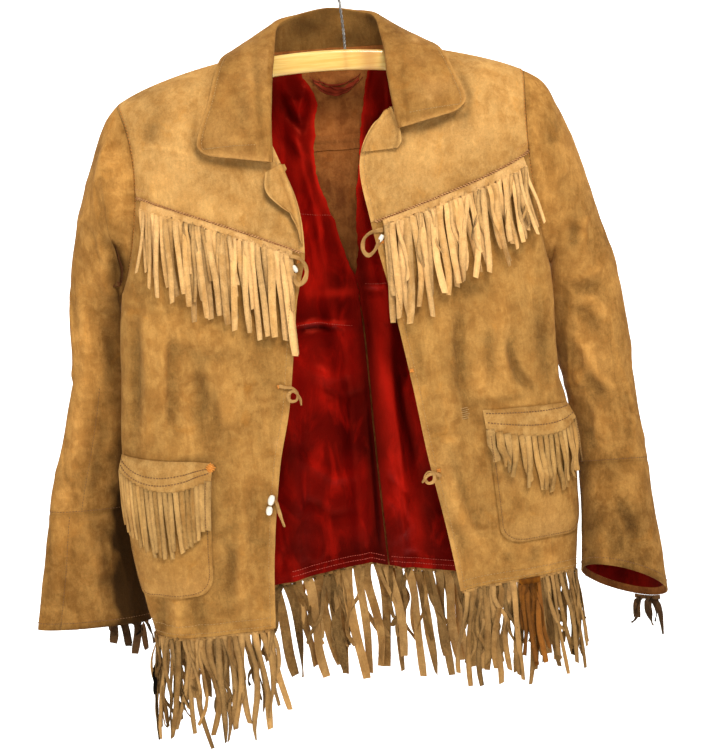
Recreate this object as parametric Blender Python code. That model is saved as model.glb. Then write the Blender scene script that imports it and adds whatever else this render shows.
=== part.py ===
"""Fringed buckskin jacket, hanging open on a wooden hanger with a wire hook.

Metres, +Z up.  The origin is the inner top of the hook, where it sits on a rail.  +X is the
viewer's right, +Y runs to the back of the jacket, and its open front faces -Y.
"right" and "left" are the wearer's: the right front hangs at -X.
Tables are in millimetres and every piece is scaled by MM as it is built.
"""
import math
import random
from collections import namedtuple

import bmesh
import bpy
import numpy as np

MM = 0.001
SUEDE = 1.6            # wall of the buckskin
SATIN = 1.0            # wall of the lining
COLLAR_WALL = 2.0      # two layers of buckskin
SEAM = 0.3             # gap between sewn pieces
RAISED = 0.7           # a piece that lies on a panel, above the panel
RIGHT, LEFT = "right", "left"
OUTWARD = {RIGHT: -1.0, LEFT: 1.0}

# Depths below the shoulder, measured along the front: the shared rows of fronts and back.
YOKE_SEAM, UNDERARM, WAIST, POCKET, SKIRT, HEM = 200.0, 250.0, 350.0, 415.0, 500.0, 585.0
BACK_SEAM = 100.0

COLOURS = {
    "suede": (0.42, 0.24, 0.09, 0.85),
    "suede_light": (0.50, 0.31, 0.13, 0.85),
    "suede_dark": (0.33, 0.19, 0.08, 0.88),
    "orange": (0.55, 0.17, 0.03, 0.80),
    "satin": (0.33, 0.015, 0.018, 0.35),
    "bead": (0.85, 0.80, 0.70, 0.35),
    "wood": (0.80, 0.47, 0.16, 0.40),
    "wire": (0.30, 0.29, 0.27, 0.45),
}


# ---------------------------------------------------------------- tables

# The opening edge and the corner of each front, row by row; lift raises a row's middle.
FrontRow = namedtuple("FrontRow", "down edge_x edge_y edge_z turn_x turn_y lift arm")
FRONT = {
    RIGHT: [
        FrontRow(0, -84, 0, -92, -212, 0, 8, 0),
        FrontRow(27, -89, -23, -119, -200, -23, 7, 22),
        FrontRow(60, -91, -35, -152, -206, -42, 5, 45),
        FrontRow(105, -75, -43, -195, -206, -52, 4, 66),
        FrontRow(150, -58, -48, -245, -206, -54, 4, 83),
        FrontRow(YOKE_SEAM, -55, -50, -296, -212, -55, 4, 98),
        FrontRow(225, -61, -50, -322, -232, -54, 4, 132),
        FrontRow(UNDERARM, -67, -50, -345, -270, -50, 3, 180),
        FrontRow(WAIST, -83, -51, -450, -292, -47, 0, 180),
        FrontRow(POCKET, -98, -52, -512, -298, -47, 0, 180),
        FrontRow(SKIRT, -111, -52, -600, -288, -46, -2, 180),
        FrontRow(HEM, -117, -50, -682, -272, -42, -6, 180),
    ],
    LEFT: [
        FrontRow(0, 59, 0, -94, 162, 0, 4.5, 0),
        FrontRow(27, 64, -23, -119, 150, -23, 4, 22),
        FrontRow(60, 57, -35, -148, 160, -42, 2, 43),
        FrontRow(105, 22, -42, -174, 160, -50, 0, 62),
        FrontRow(150, 7, -47, -212, 160, -53, -2, 77),
        FrontRow(YOKE_SEAM, 14, -50, -270, 166, -55, -3, 91),
        FrontRow(225, 20, -50, -302, 190, -54, -1, 130),
        FrontRow(UNDERARM, 27, -50, -335, 222, -50, 0, 180),
        FrontRow(WAIST, 44, -51, -440, 232, -46, 0, 180),
        FrontRow(POCKET, 54, -52, -512, 242, -46, 1, 180),
        FrontRow(SKIRT, 68, -52, -590, 236, -44, 3, 180),
        FrontRow(HEM, 78, -50, -658, 228, -40, 6, 180),
    ],
}

# The armhole: its top, front, bottom and back points.
ARMHOLE = {
    RIGHT: ((-235, 0, -132.5), (-222, -33, -212), (-243, 4, -325), (-215, 36, -222)),
    LEFT: ((180.5, 0, -128), (180, -33, -208), (190, 4, -322), (171, 36, -220)),
}

# The side seam below the armhole.
SideRow = namedtuple("SideRow", "down x y z")
SIDE = {
    RIGHT: [
        SideRow(UNDERARM, -243, 4, -325),
        SideRow(WAIST, -251, 6, -438),
        SideRow(POCKET, -254, 6, -505),
        SideRow(SKIRT, -252, 5, -600),
        SideRow(HEM, -240, 3, -681),
    ],
    LEFT: [
        SideRow(UNDERARM, 190, 4, -322),
        SideRow(WAIST, 188, 6, -434),
        SideRow(POCKET, 197, 6, -502),
        SideRow(SKIRT, 202, 5, -586),
        SideRow(HEM, 198, 3, -653),
    ],
}

# The back: its middle, the two controls that round it into the sides, and the armhole angle.
BackRow = namedtuple("BackRow", "down spine_x spine_y spine_z right_x left_x corner_y"
                                " lift_right lift_left arm")
BACK = [
    BackRow(0, -13, 47, -88, -150, 110, 0, 0, 0, 360),
    BackRow(30, -14, 50, -114, -205, 158, 22, 4, 2, 338),
    BackRow(62, -14, 51, -148, -200, 150, 42, 3, 2, 315),
    BackRow(BACK_SEAM, -15, 51, -187, -198, 148, 52, 2, 0, 292),
    BackRow(150, -16, 50, -240, -200, 152, 52, 0, 0, 250),
    BackRow(200, -17, 49, -290, -210, 162, 50, 0, 0, 215),
    BackRow(UNDERARM, -18, 48, -335, -226, 174, 48, 0, 0, 180),
    BackRow(WAIST, -18, 47, -432, -232, 176, 46, 0, 0, 180),
    BackRow(POCKET, -18, 47, -500, -234, 182, 46, 0, 0, 180),
    BackRow(SKIRT, -16, 48, -572, -232, 186, 46, 0, -6, 180),
    BackRow(HEM, -11, 48, -643, -222, 184, 44, 0, -14, 180),
]

# Soft folds of the panels: a line from top to low, its width, and its height (minus: a trough).
Fold = namedtuple("Fold", "top_x top_z low_x low_z width height")
FOLDS = {
    RIGHT: [
        Fold(-205, -300, -225, -480, 16, 4.0),
        Fold(-180, -320, -190, -560, 14, -4.0),
        Fold(-140, -330, -150, -640, 20, 3.5),
        Fold(-105, -330, -128, -620, 12, -3.0),
        Fold(-175, -150, -190, -270, 18, 3.0),
        Fold(-215, -590, -210, -690, 16, 4.5),
        Fold(-160, -600, -158, -700, 14, -3.5),
    ],
    LEFT: [
        Fold(60, -290, 84, -560, 15, 3.5),
        Fold(92, -300, 118, -600, 14, -4.0),
        Fold(128, -290, 142, -400, 18, 3.5),
        Fold(168, -270, 175, -385, 12, -3.0),
        Fold(110, -140, 130, -260, 20, 2.5),
        Fold(150, -590, 156, -670, 16, 3.5),
        Fold(100, -590, 104, -670, 14, -3.0),
    ],
    "back": [
        Fold(-150, -200, -170, -560, 26, 5.0),
        Fold(-95, -220, -105, -640, 22, -5.0),
        Fold(-40, -200, -46, -600, 26, 4.5),
        Fold(4, -240, 8, -640, 14, -6.0),
        Fold(60, -220, 66, -600, 24, 5.0),
        Fold(120, -240, 132, -640, 24, -4.5),
        Fold(-200, -420, -200, -660, 18, -3.5),
        Fold(150, -420, 160, -640, 18, 3.0),
    ],
}
FOLD_EASE = 45.0       # a fold fades in and out over this length

# Sleeves: each ring's outer and inner points, and the way from its middle to its front.
ArmRow = namedtuple("ArmRow", "out_x out_y out_z in_x in_y in_z deep_x deep_y deep_z")
SLEEVE = {
    RIGHT: [
        ArmRow(-249, 3, -149, -248, 6, -329, -3, -34, 0),
        ArmRow(-265, 7, -178, -251, 10, -335, 2, -34, 0),
        ArmRow(-281, 11, -222, -254, 17, -344, 6, -33, 0),
        ArmRow(-293, 14, -260, -255, 27, -357, 9, -30, 0),
        ArmRow(-303, 17, -302, -252, 39, -376, 11, -26, 0),
        ArmRow(-308, 18, -350, -247, 51, -401, 12, -22, 0),
        ArmRow(-311, 18, -400, -243, 59, -428, 12, -20, 0),
        ArmRow(-317, 16, -438, -242, 63, -454, 11, -19, 0),
        ArmRow(-333, 10, -495, -246, 61, -502, 11, -18, 0),
    ],
    LEFT: [
        ArmRow(204, 3, -144, 196, 9, -327, 4, -34, 0),
        ArmRow(215, 6, -166, 199, 14, -333, 1, -36, 0),
        ArmRow(229, 9, -198, 201, 20, -341, -2, -37, 0),
        ArmRow(241, 11, -237, 201, 25, -353, -5, -37, 0),
        ArmRow(252, 12, -277, 200, 29, -370, -7, -36, 0),
        ArmRow(264, 12, -320, 199, 31, -392, -8, -35, 0),
        ArmRow(272, 11, -366, 199, 31, -416, -8, -34, 0),
        ArmRow(278, 8, -415, 202, 28, -436, -8, -33, 0),
        ArmRow(279, 3, -452, 209, 22, -464, -8, -32, 0),
    ],
}
CUFF = {
    RIGHT: [
        ArmRow(-340, 6, -518, -250, 59, -525, 11, -18, 0),
        ArmRow(-350, 1, -560, -255, 52, -567, 10, -18, 0),
        ArmRow(-360, -4, -616, -260, 44, -624, 10, -18, 0),
        ArmRow(-372, -8, -675, -264, 36, -684, 9, -18, 0),
    ],
    LEFT: [
        ArmRow(281, -2, -485, 212, 17, -494, -7, -31, 1),
        ArmRow(285, -11, -530, 215, 6, -534, -6, -30, 5),
        ArmRow(290, -23, -600, 213, -13, -590, -5, -28, 12),
        ArmRow(296, -36, -677, 207, -30, -651, -6, -25, 20),
    ],
}

# The collar, from the right end round the neck to the left end: seam, fold and outer edge.
CollarRow = namedtuple("CollarRow", "seam fold outer")
COLLAR = [
    CollarRow((-90, -46, -194), (-79, -51, -202), (-152, -55, -189)),
    CollarRow((-88, -41, -168), (-78, -46, -166), (-153, -52, -174)),
    CollarRow((-86, -27, -132), (-75, -32, -128), (-140, -37, -138)),
    CollarRow((-84.5, -13, -109), (-72, -16, -102), (-131, -20, -107)),
    CollarRow((-80.5, 1, -93.6), (-69, 4, -79), (-123, 4, -91)),
    CollarRow((-75, 24, -90.2), (-65, 28, -60), (-106, 38, -87)),
    CollarRow((-47, 42, -89.2), (-42, 47, -51), (-62, 65, -98)),
    CollarRow((-13, 47, -89.2), (-13, 51, -47.5), (-14, 68, -104)),
    CollarRow((21, 42, -89.8), (16, 47, -52), (36, 65, -98)),
    CollarRow((49, 24, -91.6), (35, 28, -59), (74, 40, -89)),
    CollarRow((55.5, 1, -95.6), (39, 4, -79), (94, 4, -95)),
    CollarRow((60, -13, -109), (41, -16, -102), (103, -18, -108)),
    CollarRow((60, -27, -130), (42, -32, -125), (110, -34, -127)),
    CollarRow((55, -41, -151), (44, -46, -152), (118, -50, -150)),
    CollarRow((57, -46, -171), (48, -51, -178), (114, -55, -164)),
]
FOLD_RADIUS = 4.8

# Hanger: the bar's curve and section, the stem and the crook.
BAR_TOP, BAR_TILT, BAR_BOW = -94.0, -0.045, 0.00086
BAR_HALF, BAR_TALL, BAR_THICK, BAR_ROUND = 165.0, 21.0, 8.0, 3.0
WIRE = 2.6
CROOK_RADIUS = 17.0


# The rows and columns of the panels as they are built.
FRONT_DOWNS = (0, 9, 30, 65, 105, 150, YOKE_SEAM, 212, 225, 238, UNDERARM, 295, WAIST, POCKET, 458,
               SKIRT, 545, HEM)
BACK_DOWNS = (0, 9, 30, 62, BACK_SEAM, 125, 150, 175, 200, 225, UNDERARM, 295, WAIST, POCKET, SKIRT, HEM)
NECK_END = 0.36        # share of the back's upper edge where its neck meets the shoulder
FRONT_COLS, BACK_COLS = 10, 17
EDGE_CROWDING = 1.3    # columns stand closer together towards the side seams


# ---------------------------------------------------------------- curves

def front_shares():
    return 1 - (1 - np.linspace(0, 1, FRONT_COLS)) ** EDGE_CROWDING


def smooth(knots, values, at):
    """Smooth curve through a short table: Hermite pieces with slopes from the neighbours."""
    knots = np.asarray(knots, float)
    values = np.asarray(values, float)
    k = int(np.clip(np.searchsorted(knots, at, side="right") - 1, 0, len(knots) - 2))

    def slope(i):
        lo, hi = max(i - 1, 0), min(i + 1, len(knots) - 1)
        return (values[hi] - values[lo]) / (knots[hi] - knots[lo])

    span = knots[k + 1] - knots[k]
    s = (at - knots[k]) / span
    return ((1 + 2 * s) * (1 - s) ** 2 * values[k] + s * (1 - s) ** 2 * span * slope(k)
            + s * s * (3 - 2 * s) * values[k + 1] + s * s * (s - 1) * span * slope(k + 1))


def bezier(p0, p1, p2, p3, t):
    return (1 - t) ** 3 * p0 + 3 * (1 - t) ** 2 * t * p1 + 3 * (1 - t) * t * t * p2 + t ** 3 * p3


def unit(v):
    return v / np.linalg.norm(v)


def column(rows, name):
    return [getattr(row, name) for row in rows]


def read(rows, names, at):
    """The named columns of a table, read smoothly at a depth."""
    return np.array([smooth(column(rows, "down"), column(rows, name), at) for name in names])


# ---------------------------------------------------------------- the body

def armhole(side, angle):
    """A point of the armhole: 0 degrees is its top, 90 its front, 180 the underarm."""
    top, front, low, back = (np.array(p, float) for p in ARMHOLE[side])
    a = math.radians(angle)
    return ((top + front + low + back) / 4 + (top - low) / 2 * math.cos(a)
            + (front - back) / 2 * math.sin(a) + (top - front + low - back) / 4 * math.cos(2 * a))


def armhole_lip(side, angle):
    """The way into the wall at the armhole, shared by the body and the sleeve."""
    a = math.radians(angle)
    into_body = -OUTWARD[side] * (1 - math.cos(a)) / 2
    return unit(np.array([into_body, math.sin(a), -math.cos(a)]))


def outer_point(side, rows, down):
    """Where a front or the back ends: on the armhole, and below it on the side seam."""
    if down <= UNDERARM:
        return armhole(side, smooth(column(rows, "down"), column(rows, "arm"), down))
    return read(SIDE[side], ("x", "y", "z"), down)


def folds(table, x, z):
    """Height of the soft folds at a place on a panel."""
    height = 0.0
    for fold in table:
        run = (fold.top_z - z) / (fold.top_z - fold.low_z)
        ease = FOLD_EASE / (fold.top_z - fold.low_z)
        if -ease < run < 1 + ease:
            line_x = fold.top_x + (fold.low_x - fold.top_x) * run
            fade = min(1.0, (run + ease) / (2 * ease), (1 + ease - run) / (2 * ease))
            fade = fade * fade * (3 - 2 * fade)
            height += fold.height * fade * math.exp(-((x - line_x) / fold.width) ** 2)
    return height


def front_skin(side, t, down):
    """Outside of a front: t runs from the opening (0) to the armhole or side seam (1)."""
    rows = FRONT[side]
    edge = read(rows, ("edge_x", "edge_y", "edge_z"), down)
    turn_x, turn_y, lift = read(rows, ("turn_x", "turn_y", "lift"), down)
    end = outer_point(side, rows, down)
    turn = np.array([turn_x, turn_y, edge[2] + (end[2] - edge[2]) * 0.85])
    point = bezier(edge, edge + (turn - edge) * 0.42, turn, end, t)
    point[2] += lift * 4 * t * (1 - t)
    point[1] -= folds(FOLDS[side], point[0], point[2]) * (1 - t ** 6)
    return point


def neck_and_ridge(u):
    """Upper edge of the back: right shoulder, back neck, left shoulder, for u from -1 to 1."""
    side = RIGHT if u < 0 else LEFT
    if abs(u) >= NECK_END:
        return front_skin(side, (abs(u) - NECK_END) / (1 - NECK_END), 0.0)
    ends = [front_skin(s, 0.0, 0.0) for s in (RIGHT, LEFT)]
    controls = [end + np.array([0.0, 62.0, 4.0]) for end in ends]
    return bezier(ends[0], controls[0], controls[1], ends[1], (u + NECK_END) / (2 * NECK_END))


def back_skin(u, down):
    """Outside of the back: u runs from the right side (-1) to the left side (1)."""
    side = RIGHT if u < 0 else LEFT
    names = ("spine_x", "spine_y", "spine_z", side + "_x", "corner_y", "lift_" + side)
    spine_x, spine_y, spine_z, corner_x, corner_y, lift = read(BACK, names, down)
    spine = np.array([spine_x, spine_y, spine_z])
    end = outer_point(side, BACK, down)
    corner = np.array([corner_x, corner_y, spine_z + (end[2] - spine_z) * 0.85])
    t = abs(u)
    point = bezier(spine, spine + (np.array([corner_x, spine_y, corner[2]]) - spine) * 0.42, corner, end, t)
    point[2] += lift * 4 * t * (1 - t)
    point[1] += folds(FOLDS["back"], point[0], point[2]) * (1 - t ** 6)
    blend = max(0.0, 1 - down / 30.0)
    return point * (1 - blend) + neck_and_ridge(u) * blend


def front_normal(side, t, down):
    """Outward normal of a front."""
    step_t, step_down = 0.01, 2.0
    across = front_skin(side, min(t + step_t, 1), down) - front_skin(side, max(t - step_t, 0), down)
    along = front_skin(side, t, min(down + step_down, HEM)) - front_skin(side, t, max(down - step_down, 0))
    return unit(np.cross(along, across)) * OUTWARD[side]


def front_facet(side, t, down):
    """A point of the front as it is built: between the skin points of its own rows and columns."""
    shares = front_shares()
    j = int(np.clip(np.searchsorted(shares, t, side="right") - 1, 0, FRONT_COLS - 2))
    i = int(np.clip(np.searchsorted(FRONT_DOWNS, down, side="right") - 1, 0, len(FRONT_DOWNS) - 2))
    a = (t - shares[j]) / (shares[j + 1] - shares[j])
    b = (down - FRONT_DOWNS[i]) / (FRONT_DOWNS[i + 1] - FRONT_DOWNS[i])
    corners = [front_skin(side, shares[jj], FRONT_DOWNS[ii]) for ii in (i, i + 1) for jj in (j, j + 1)]
    return ((1 - b) * ((1 - a) * corners[0] + a * corners[1])
            + b * ((1 - a) * corners[2] + a * corners[3]))


def over_front(side, t, down, height):
    """The point over a front at a share and a depth, raised above it."""
    return front_facet(side, t, down) + front_normal(side, t, down) * height


def front_at(side, x, z, height):
    """The point over a front at a place seen from the front, raised above it."""
    t, down = 0.5, 300.0
    for _ in range(14):
        here = front_skin(side, t, down)
        d_t = (front_skin(side, t + 0.01, down) - here) / 0.01
        d_down = (front_skin(side, t, down + 1.0) - here)
        miss = np.array([x - here[0], z - here[2]])
        step = np.linalg.solve(np.array([[d_t[0], d_down[0]], [d_t[2], d_down[2]]]), miss)
        t = min(max(t + min(max(step[0], -0.15), 0.15), 0.0), 0.84)
        down = min(max(down + step[1], 0.0), HEM - 1.0)
    return over_front(side, t, down, height)


def back_at(x, down):
    """The point of the back's skin at a sideways place and a depth, and its outward normal."""
    low, high = -1.0, 1.0
    for _ in range(22):
        u = (low + high) / 2
        if back_skin(u, down)[0] < x:
            low = u
        else:
            high = u
    across = back_skin(min(u + 0.01, 1), down) - back_skin(max(u - 0.01, -1), down)
    along = back_skin(u, min(down + 3, HEM)) - back_skin(u, max(down - 3, 0))
    return back_skin(u, down), unit(np.cross(across, along))


# ---------------------------------------------------------------- meshes

def inward_of(grid, sign, wrap=False):
    """Unit vectors into the wall at each point of a grid of skin points."""
    if wrap:
        across = np.roll(grid, -1, axis=1) - np.roll(grid, 1, axis=1)
    else:
        across = np.gradient(grid, axis=1)
    along = np.gradient(grid, axis=0)
    normal = np.cross(along, across)
    return normal / np.linalg.norm(normal, axis=2, keepdims=True) * sign


def collection(name):
    made = bpy.data.collections.new(name)
    bpy.context.scene.collection.children.link(made)
    return made


def material(kind, name):
    red, green, blue, rough = COLOURS[kind]
    made = bpy.data.materials.new(name)
    made.use_nodes = True
    shader = made.node_tree.nodes["Principled BSDF"]
    shader.inputs["Base Color"].default_value = (red, green, blue, 1.0)
    shader.inputs["Roughness"].default_value = rough
    shader.inputs["Metallic"].default_value = 1.0 if kind == "wire" else 0.0
    return made


def add(name, mesh, kind):
    mesh.materials.append(material(kind, name))
    piece = bpy.data.objects.new(name, mesh)
    JACKET.objects.link(piece)
    return piece


def from_bmesh(name, bm, kind):
    bmesh.ops.recalc_face_normals(bm, faces=bm.faces)
    mesh = bpy.data.meshes.new(name)
    bm.to_mesh(mesh)
    bm.free()
    return add(name, mesh, kind)


def wall(name, grid, inward, thick, kind, wrap=False):
    """A cloth piece: a loft of skin points with a plain inner face and closed edges."""
    rows, cols = grid.shape[:2]
    bm = bmesh.new()
    skins = []
    for points in (grid, grid + inward * thick):
        skins.append([[bm.verts.new(p * MM) for p in row] for row in points])
    outer, inner = skins
    last = cols if wrap else cols - 1
    for i in range(rows - 1):
        for j in range(last):
            k = (j + 1) % cols
            bm.faces.new((outer[i][j], outer[i][k], outer[i + 1][k], outer[i + 1][j]))
            bm.faces.new((inner[i][j], inner[i + 1][j], inner[i + 1][k], inner[i][k]))
    for i in (0, rows - 1):
        for j in range(last):
            k = (j + 1) % cols
            bm.faces.new((outer[i][j], outer[i][k], inner[i][k], inner[i][j]))
    if not wrap:
        for j in (0, cols - 1):
            for i in range(rows - 1):
                bm.faces.new((outer[i][j], outer[i + 1][j], inner[i + 1][j], inner[i][j]))
    return from_bmesh(name, bm, kind)


def fringe(name, tops, lows, inward, strands, thick, kind):
    """A narrow backing cut into strands: each is a list of (shift, width share) steps."""
    bm = bmesh.new()
    ring = []
    for top, low, into in zip(tops, lows, inward):
        ring.append([bm.verts.new(p * MM) for p in (top, top + into * thick, low + into * thick, low)])
    roots = []
    for a, b in zip(ring, ring[1:]):
        for k in range(4):
            face = bm.faces.new((a[k], a[(k + 1) % 4], b[(k + 1) % 4], b[k]))
            if k == 2:
                roots.append(face)
    bm.faces.new(ring[0])
    bm.faces.new(ring[-1])
    for face, strand in zip(roots, strands):
        width = (face.verts[0].co - face.verts[3].co).length
        for shift, share in strand:
            face = bmesh.ops.extrude_discrete_faces(bm, faces=[face])["faces"][0]
            middle = face.calc_center_median()
            sideways = unit(np.array(face.verts[3].co - face.verts[0].co))
            for vert in face.verts:
                off = np.array(vert.co - middle)
                run = float(off @ sideways)
                vert.co = np.array(middle) + off + sideways * (math.copysign(share * width / 2, run) - run)
                vert.co = np.array(vert.co) + np.array(shift) * MM
    return from_bmesh(name, bm, kind)


# ---------------------------------------------------------------- pieces of cloth


def split(grid_at, downs, inward, seam):
    """The rows of a panel pair above and below their seam, half the gap on each side."""
    k = downs.index(seam)
    upper = np.array([grid_at(d) for d in downs[:k]] + [grid_at(seam - SEAM / 2)])
    lower = np.array([grid_at(seam + SEAM / 2)] + [grid_at(d) for d in downs[k + 1:]])
    return (upper, inward[:k + 1]), (lower, inward[k:])


def lip_at(side, rows, down):
    """The way into the wall at the outer edge of a front or the back."""
    if down <= UNDERARM:
        return armhole_lip(side, smooth(column(rows, "down"), column(rows, "arm"), down))
    return np.array([-OUTWARD[side], 0.0, 0.0])


def make_fronts(side):
    shares = front_shares()

    def row(down):
        points = np.array([front_skin(side, t, down) for t in shares])
        if down == 0:
            points[:, 1] -= SEAM / 2
        if down >= UNDERARM:
            points[-1, 1] -= SEAM / 2
        return points

    grid = np.array([row(d) for d in FRONT_DOWNS])
    inward = inward_of(grid, -OUTWARD[side])
    inward[0] = (0, 0, -1)
    for i, down in enumerate(FRONT_DOWNS):
        inward[i, -1] = lip_at(side, FRONT[side], down)
    yoke, panel = split(row, FRONT_DOWNS, inward, YOKE_SEAM)
    wall("yoke_" + side, *yoke, SUEDE, "suede_light")
    wall("front_" + side, *panel, SUEDE, "suede")


def make_back():
    shares = np.linspace(-1, 1, BACK_COLS)

    def row(down):
        points = np.array([back_skin(u, down) for u in shares])
        if down == 0:
            points[:, 1] += SEAM / 2
        if down >= UNDERARM:
            points[[0, -1], 1] += SEAM / 2
        return points

    grid = np.array([row(d) for d in BACK_DOWNS])
    inward = inward_of(grid, 1.0)
    ridge = np.abs(shares) >= NECK_END
    inward[0, ridge] = (0, 0, -1)
    for i, down in enumerate(BACK_DOWNS):
        inward[i, 0] = lip_at(RIGHT, BACK, down)
        inward[i, -1] = lip_at(LEFT, BACK, down)
    yoke, panel = split(row, BACK_DOWNS, inward, BACK_SEAM)
    wall("back_yoke", *yoke, SUEDE, "suede_light")
    wall("back_panel", *panel, SUEDE, "suede")


def arm_ring(row, angle):
    """A point of a sleeve ring: 0 degrees is the outer side, 90 the front, 180 the inner side."""
    out = np.array([row.out_x, row.out_y, row.out_z], float)
    inner = np.array([row.in_x, row.in_y, row.in_z], float)
    deep = np.array([row.deep_x, row.deep_y, row.deep_z], float)
    a = math.radians(angle)
    return (out + inner) / 2 + (out - inner) / 2 * math.cos(a) + deep * math.sin(a)


def sleeve_start(side, angle):
    """The sleeve's first ring: the armhole, moved off the body's edge by the seam's gap."""
    run = armhole(side, angle + 1) - armhole(side, angle - 1)
    away = unit(np.cross(run, armhole_lip(side, angle)))
    if away[0] * OUTWARD[side] < 0:
        away = -away
    return armhole(side, angle) + away * SEAM


def arm_angles(side):
    """The angles of the sleeve's columns, front and back: those where the rows of the body end."""
    def angle(rows, down):
        return smooth(column(rows, "down"), column(rows, "arm"), down)

    front = [angle(FRONT[side], d) for d in FRONT_DOWNS if d <= UNDERARM]
    back = [angle(BACK, d) for d in BACK_DOWNS if 0 < d < UNDERARM]
    return front, back[::-1]


def make_sleeve(side):
    """The sleeve is cut in two, front and back, sewn down its outer and inner side; the cuff is one."""
    front, back = arm_angles(side)
    angles = front + back
    rings = [[sleeve_start(side, a) for a in angles]]
    rings += [[arm_ring(row, a) for a in angles] for row in SLEEVE[side] + CUFF[side]]
    grid = np.array(rings)
    inward = inward_of(grid, OUTWARD[side], wrap=True)
    inward[0] = [armhole_lip(side, a) for a in angles]
    k = len(SLEEVE[side]) + 1
    upper, lower = grid[:k + 1].copy(), grid[k:].copy()
    upper[-1, :, 2] += SEAM / 2
    lower[0, :, 2] -= SEAM / 2
    halves = {"front": (-SEAM / 2, list(range(len(front)))),
              "back": (SEAM / 2, list(range(len(front) - 1, len(angles))) + [0])}
    for half, (shift, columns) in halves.items():
        points = upper[:, columns].copy()
        points[:, [0, -1], 1] += shift
        wall(f"sleeve_{side}_{half}", points, inward[:k + 1][:, columns], SUEDE, "suede_dark")
    wall("cuff_" + side, lower, inward[k:], SUEDE, "suede_dark", wrap=True)


def collar_section(at):
    """The collar's visible side across one place: up the stand, over the fold, down the fall."""
    places = list(range(len(COLLAR)))
    seam, fold, outer = (np.array([smooth(places, [getattr(r, part)[k] for r in COLLAR], at)
                                   for k in range(3)]) for part in ("seam", "fold", "outer"))
    rise = unit(fold - (seam + outer) / 2)
    away = (outer - seam) - rise * float((outer - seam) @ rise)
    along = unit(np.cross(rise, away))
    away = unit(away)
    if at < 1.9 or at > len(COLLAR) - 2.9:
        away = np.array([0.0, -1.0, 0.0])
    r = FOLD_RADIUS
    inner_turn = fold - rise * r - away * r
    outer_turn = fold - rise * r + away * r
    return [seam, (seam + inner_turn) / 2, inner_turn, fold - rise * r * 0.29 - away * r * 0.71,
            fold - rise * r * 0.29 + away * r * 0.71, outer_turn,
            outer_turn * 0.66 + outer * 0.34 + away * 2.0,
            outer_turn * 0.33 + outer * 0.67 + away * 1.5, outer]


def make_collar():
    places = np.linspace(0, len(COLLAR) - 1, 23)
    grid = np.array([collar_section(at) for at in places])
    wall("collar", grid, inward_of(grid, -1.0), COLLAR_WALL, "suede_light")


# ---------------------------------------------------------------- pieces that lie on the fronts

# Pockets: the shares across the front of their near side (top and bottom) and their far side,
# and the depths of the top (near and far) and of the bottom.
Pocket = namedtuple("Pocket", "near near_low far top_near top_far low")
POCKETS = {
    RIGHT: Pocket(0.261, 0.285, 0.82, 408, 400, 540),
    LEFT: Pocket(0.263, 0.245, 0.78, 379, 385, 531),
}
CORNER, CORNER_NEAR, CORNER_FAR = 22.0, 0.09, 0.12    # the rounding: depth, and shares at each side
BAND_TALL = 15.0

# Lapels: the top corner of each front, turned back.  Places seen from the front.
Lapel = namedtuple("Lapel", "roll_x roll_z edge_x edge_z")
LAPELS = {
    RIGHT: [Lapel(-74, -208, -86, -212), Lapel(-64, -228, -80, -227), Lapel(-58, -246, -68, -247),
            Lapel(-56, -262, -60, -263)],
    LEFT: [Lapel(37, -163.5, 43, -164.5), Lapel(28, -170, 44, -173), Lapel(19, -181, 45, -186),
           Lapel(12, -195, 42, -199)],
}


def make_lapel(side):
    steps = (0.06, 0.5, 1.0)
    grid = []
    for row in LAPELS[side]:
        places = [(row.roll_x + (row.edge_x - row.roll_x) * k, row.roll_z + (row.edge_z - row.roll_z) * k)
                  for k in steps]
        grid.append([front_at(side, x, z, RAISED + SUEDE) for x, z in places])
    grid = np.array(grid)
    wall("lapel_" + side, grid, inward_of(grid, -OUTWARD[side]), SUEDE, "suede_light")


def make_pocket(side):
    """A pocket's patch, its columns over those of the front so that both bend alike."""
    pocket = POCKETS[side]
    middles = [share for share in front_shares() if 0.35 < share < 0.8]
    start = max(pocket.top_near, pocket.top_far) + BAND_TALL * 0.75
    rows = []
    for down in ([start] + [d for d in FRONT_DOWNS if start + 4 < d < pocket.low - CORNER]
                 + [pocket.low - CORNER * k for k in (1.0, 0.4, 0.1, 0.0)]):
        left_over = min(1.0, (pocket.low - down) / CORNER)
        inset = 1 - math.sqrt(1 - (1 - left_over) ** 2)
        run = (down - pocket.top_near) / (pocket.low - pocket.top_near)
        near = pocket.near + (pocket.near_low - pocket.near) * run + CORNER_NEAR * inset
        far = pocket.far - CORNER_FAR * inset
        steps = np.arange(1, len(middles) + 1) * 0.02
        shares = [near, *np.clip(middles, near + steps, far - steps[::-1]), far]
        rows.append([over_front(side, t, down, RAISED + SUEDE) for t in shares])
    grid = np.array(rows)
    wall("pocket_" + side, grid, inward_of(grid, -OUTWARD[side]), SUEDE, "suede")


# ---------------------------------------------------------------- fringe

# A fringe: how many strands, how long they are (first, middle and last), how far they sway,
# how far the last ones fan out, how wide they are against their pitch, in how many steps
# they bend, and the seed of their unevenness.
Cut = namedtuple("Cut", "count first middle last sway fan share steps seed")
YOKE_CUT = {RIGHT: Cut(29, 106, 94, 66, 6, 6, 0.72, 3, 11), LEFT: Cut(26, 102, 90, 56, 8, 22, 0.72, 3, 12)}
POCKET_CUT = {RIGHT: Cut(17, 64, 74, 56, 3, 0, 0.74, 2, 21), LEFT: Cut(14, 52, 66, 62, 6, 0, 0.70, 2, 22)}
HEM_CUT = {RIGHT: Cut(24, 96, 106, 96, 10, 8, 0.68, 3, 31), LEFT: Cut(25, 92, 96, 88, 10, 0, 0.68, 3, 32)}
BACK_CUT = Cut(46, 92, 114, 92, 10, 0, 0.68, 3, 33)
ORANGE_CUT = Cut(4, 74, 88, 80, 6, 0, 0.7, 3, 34)
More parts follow.
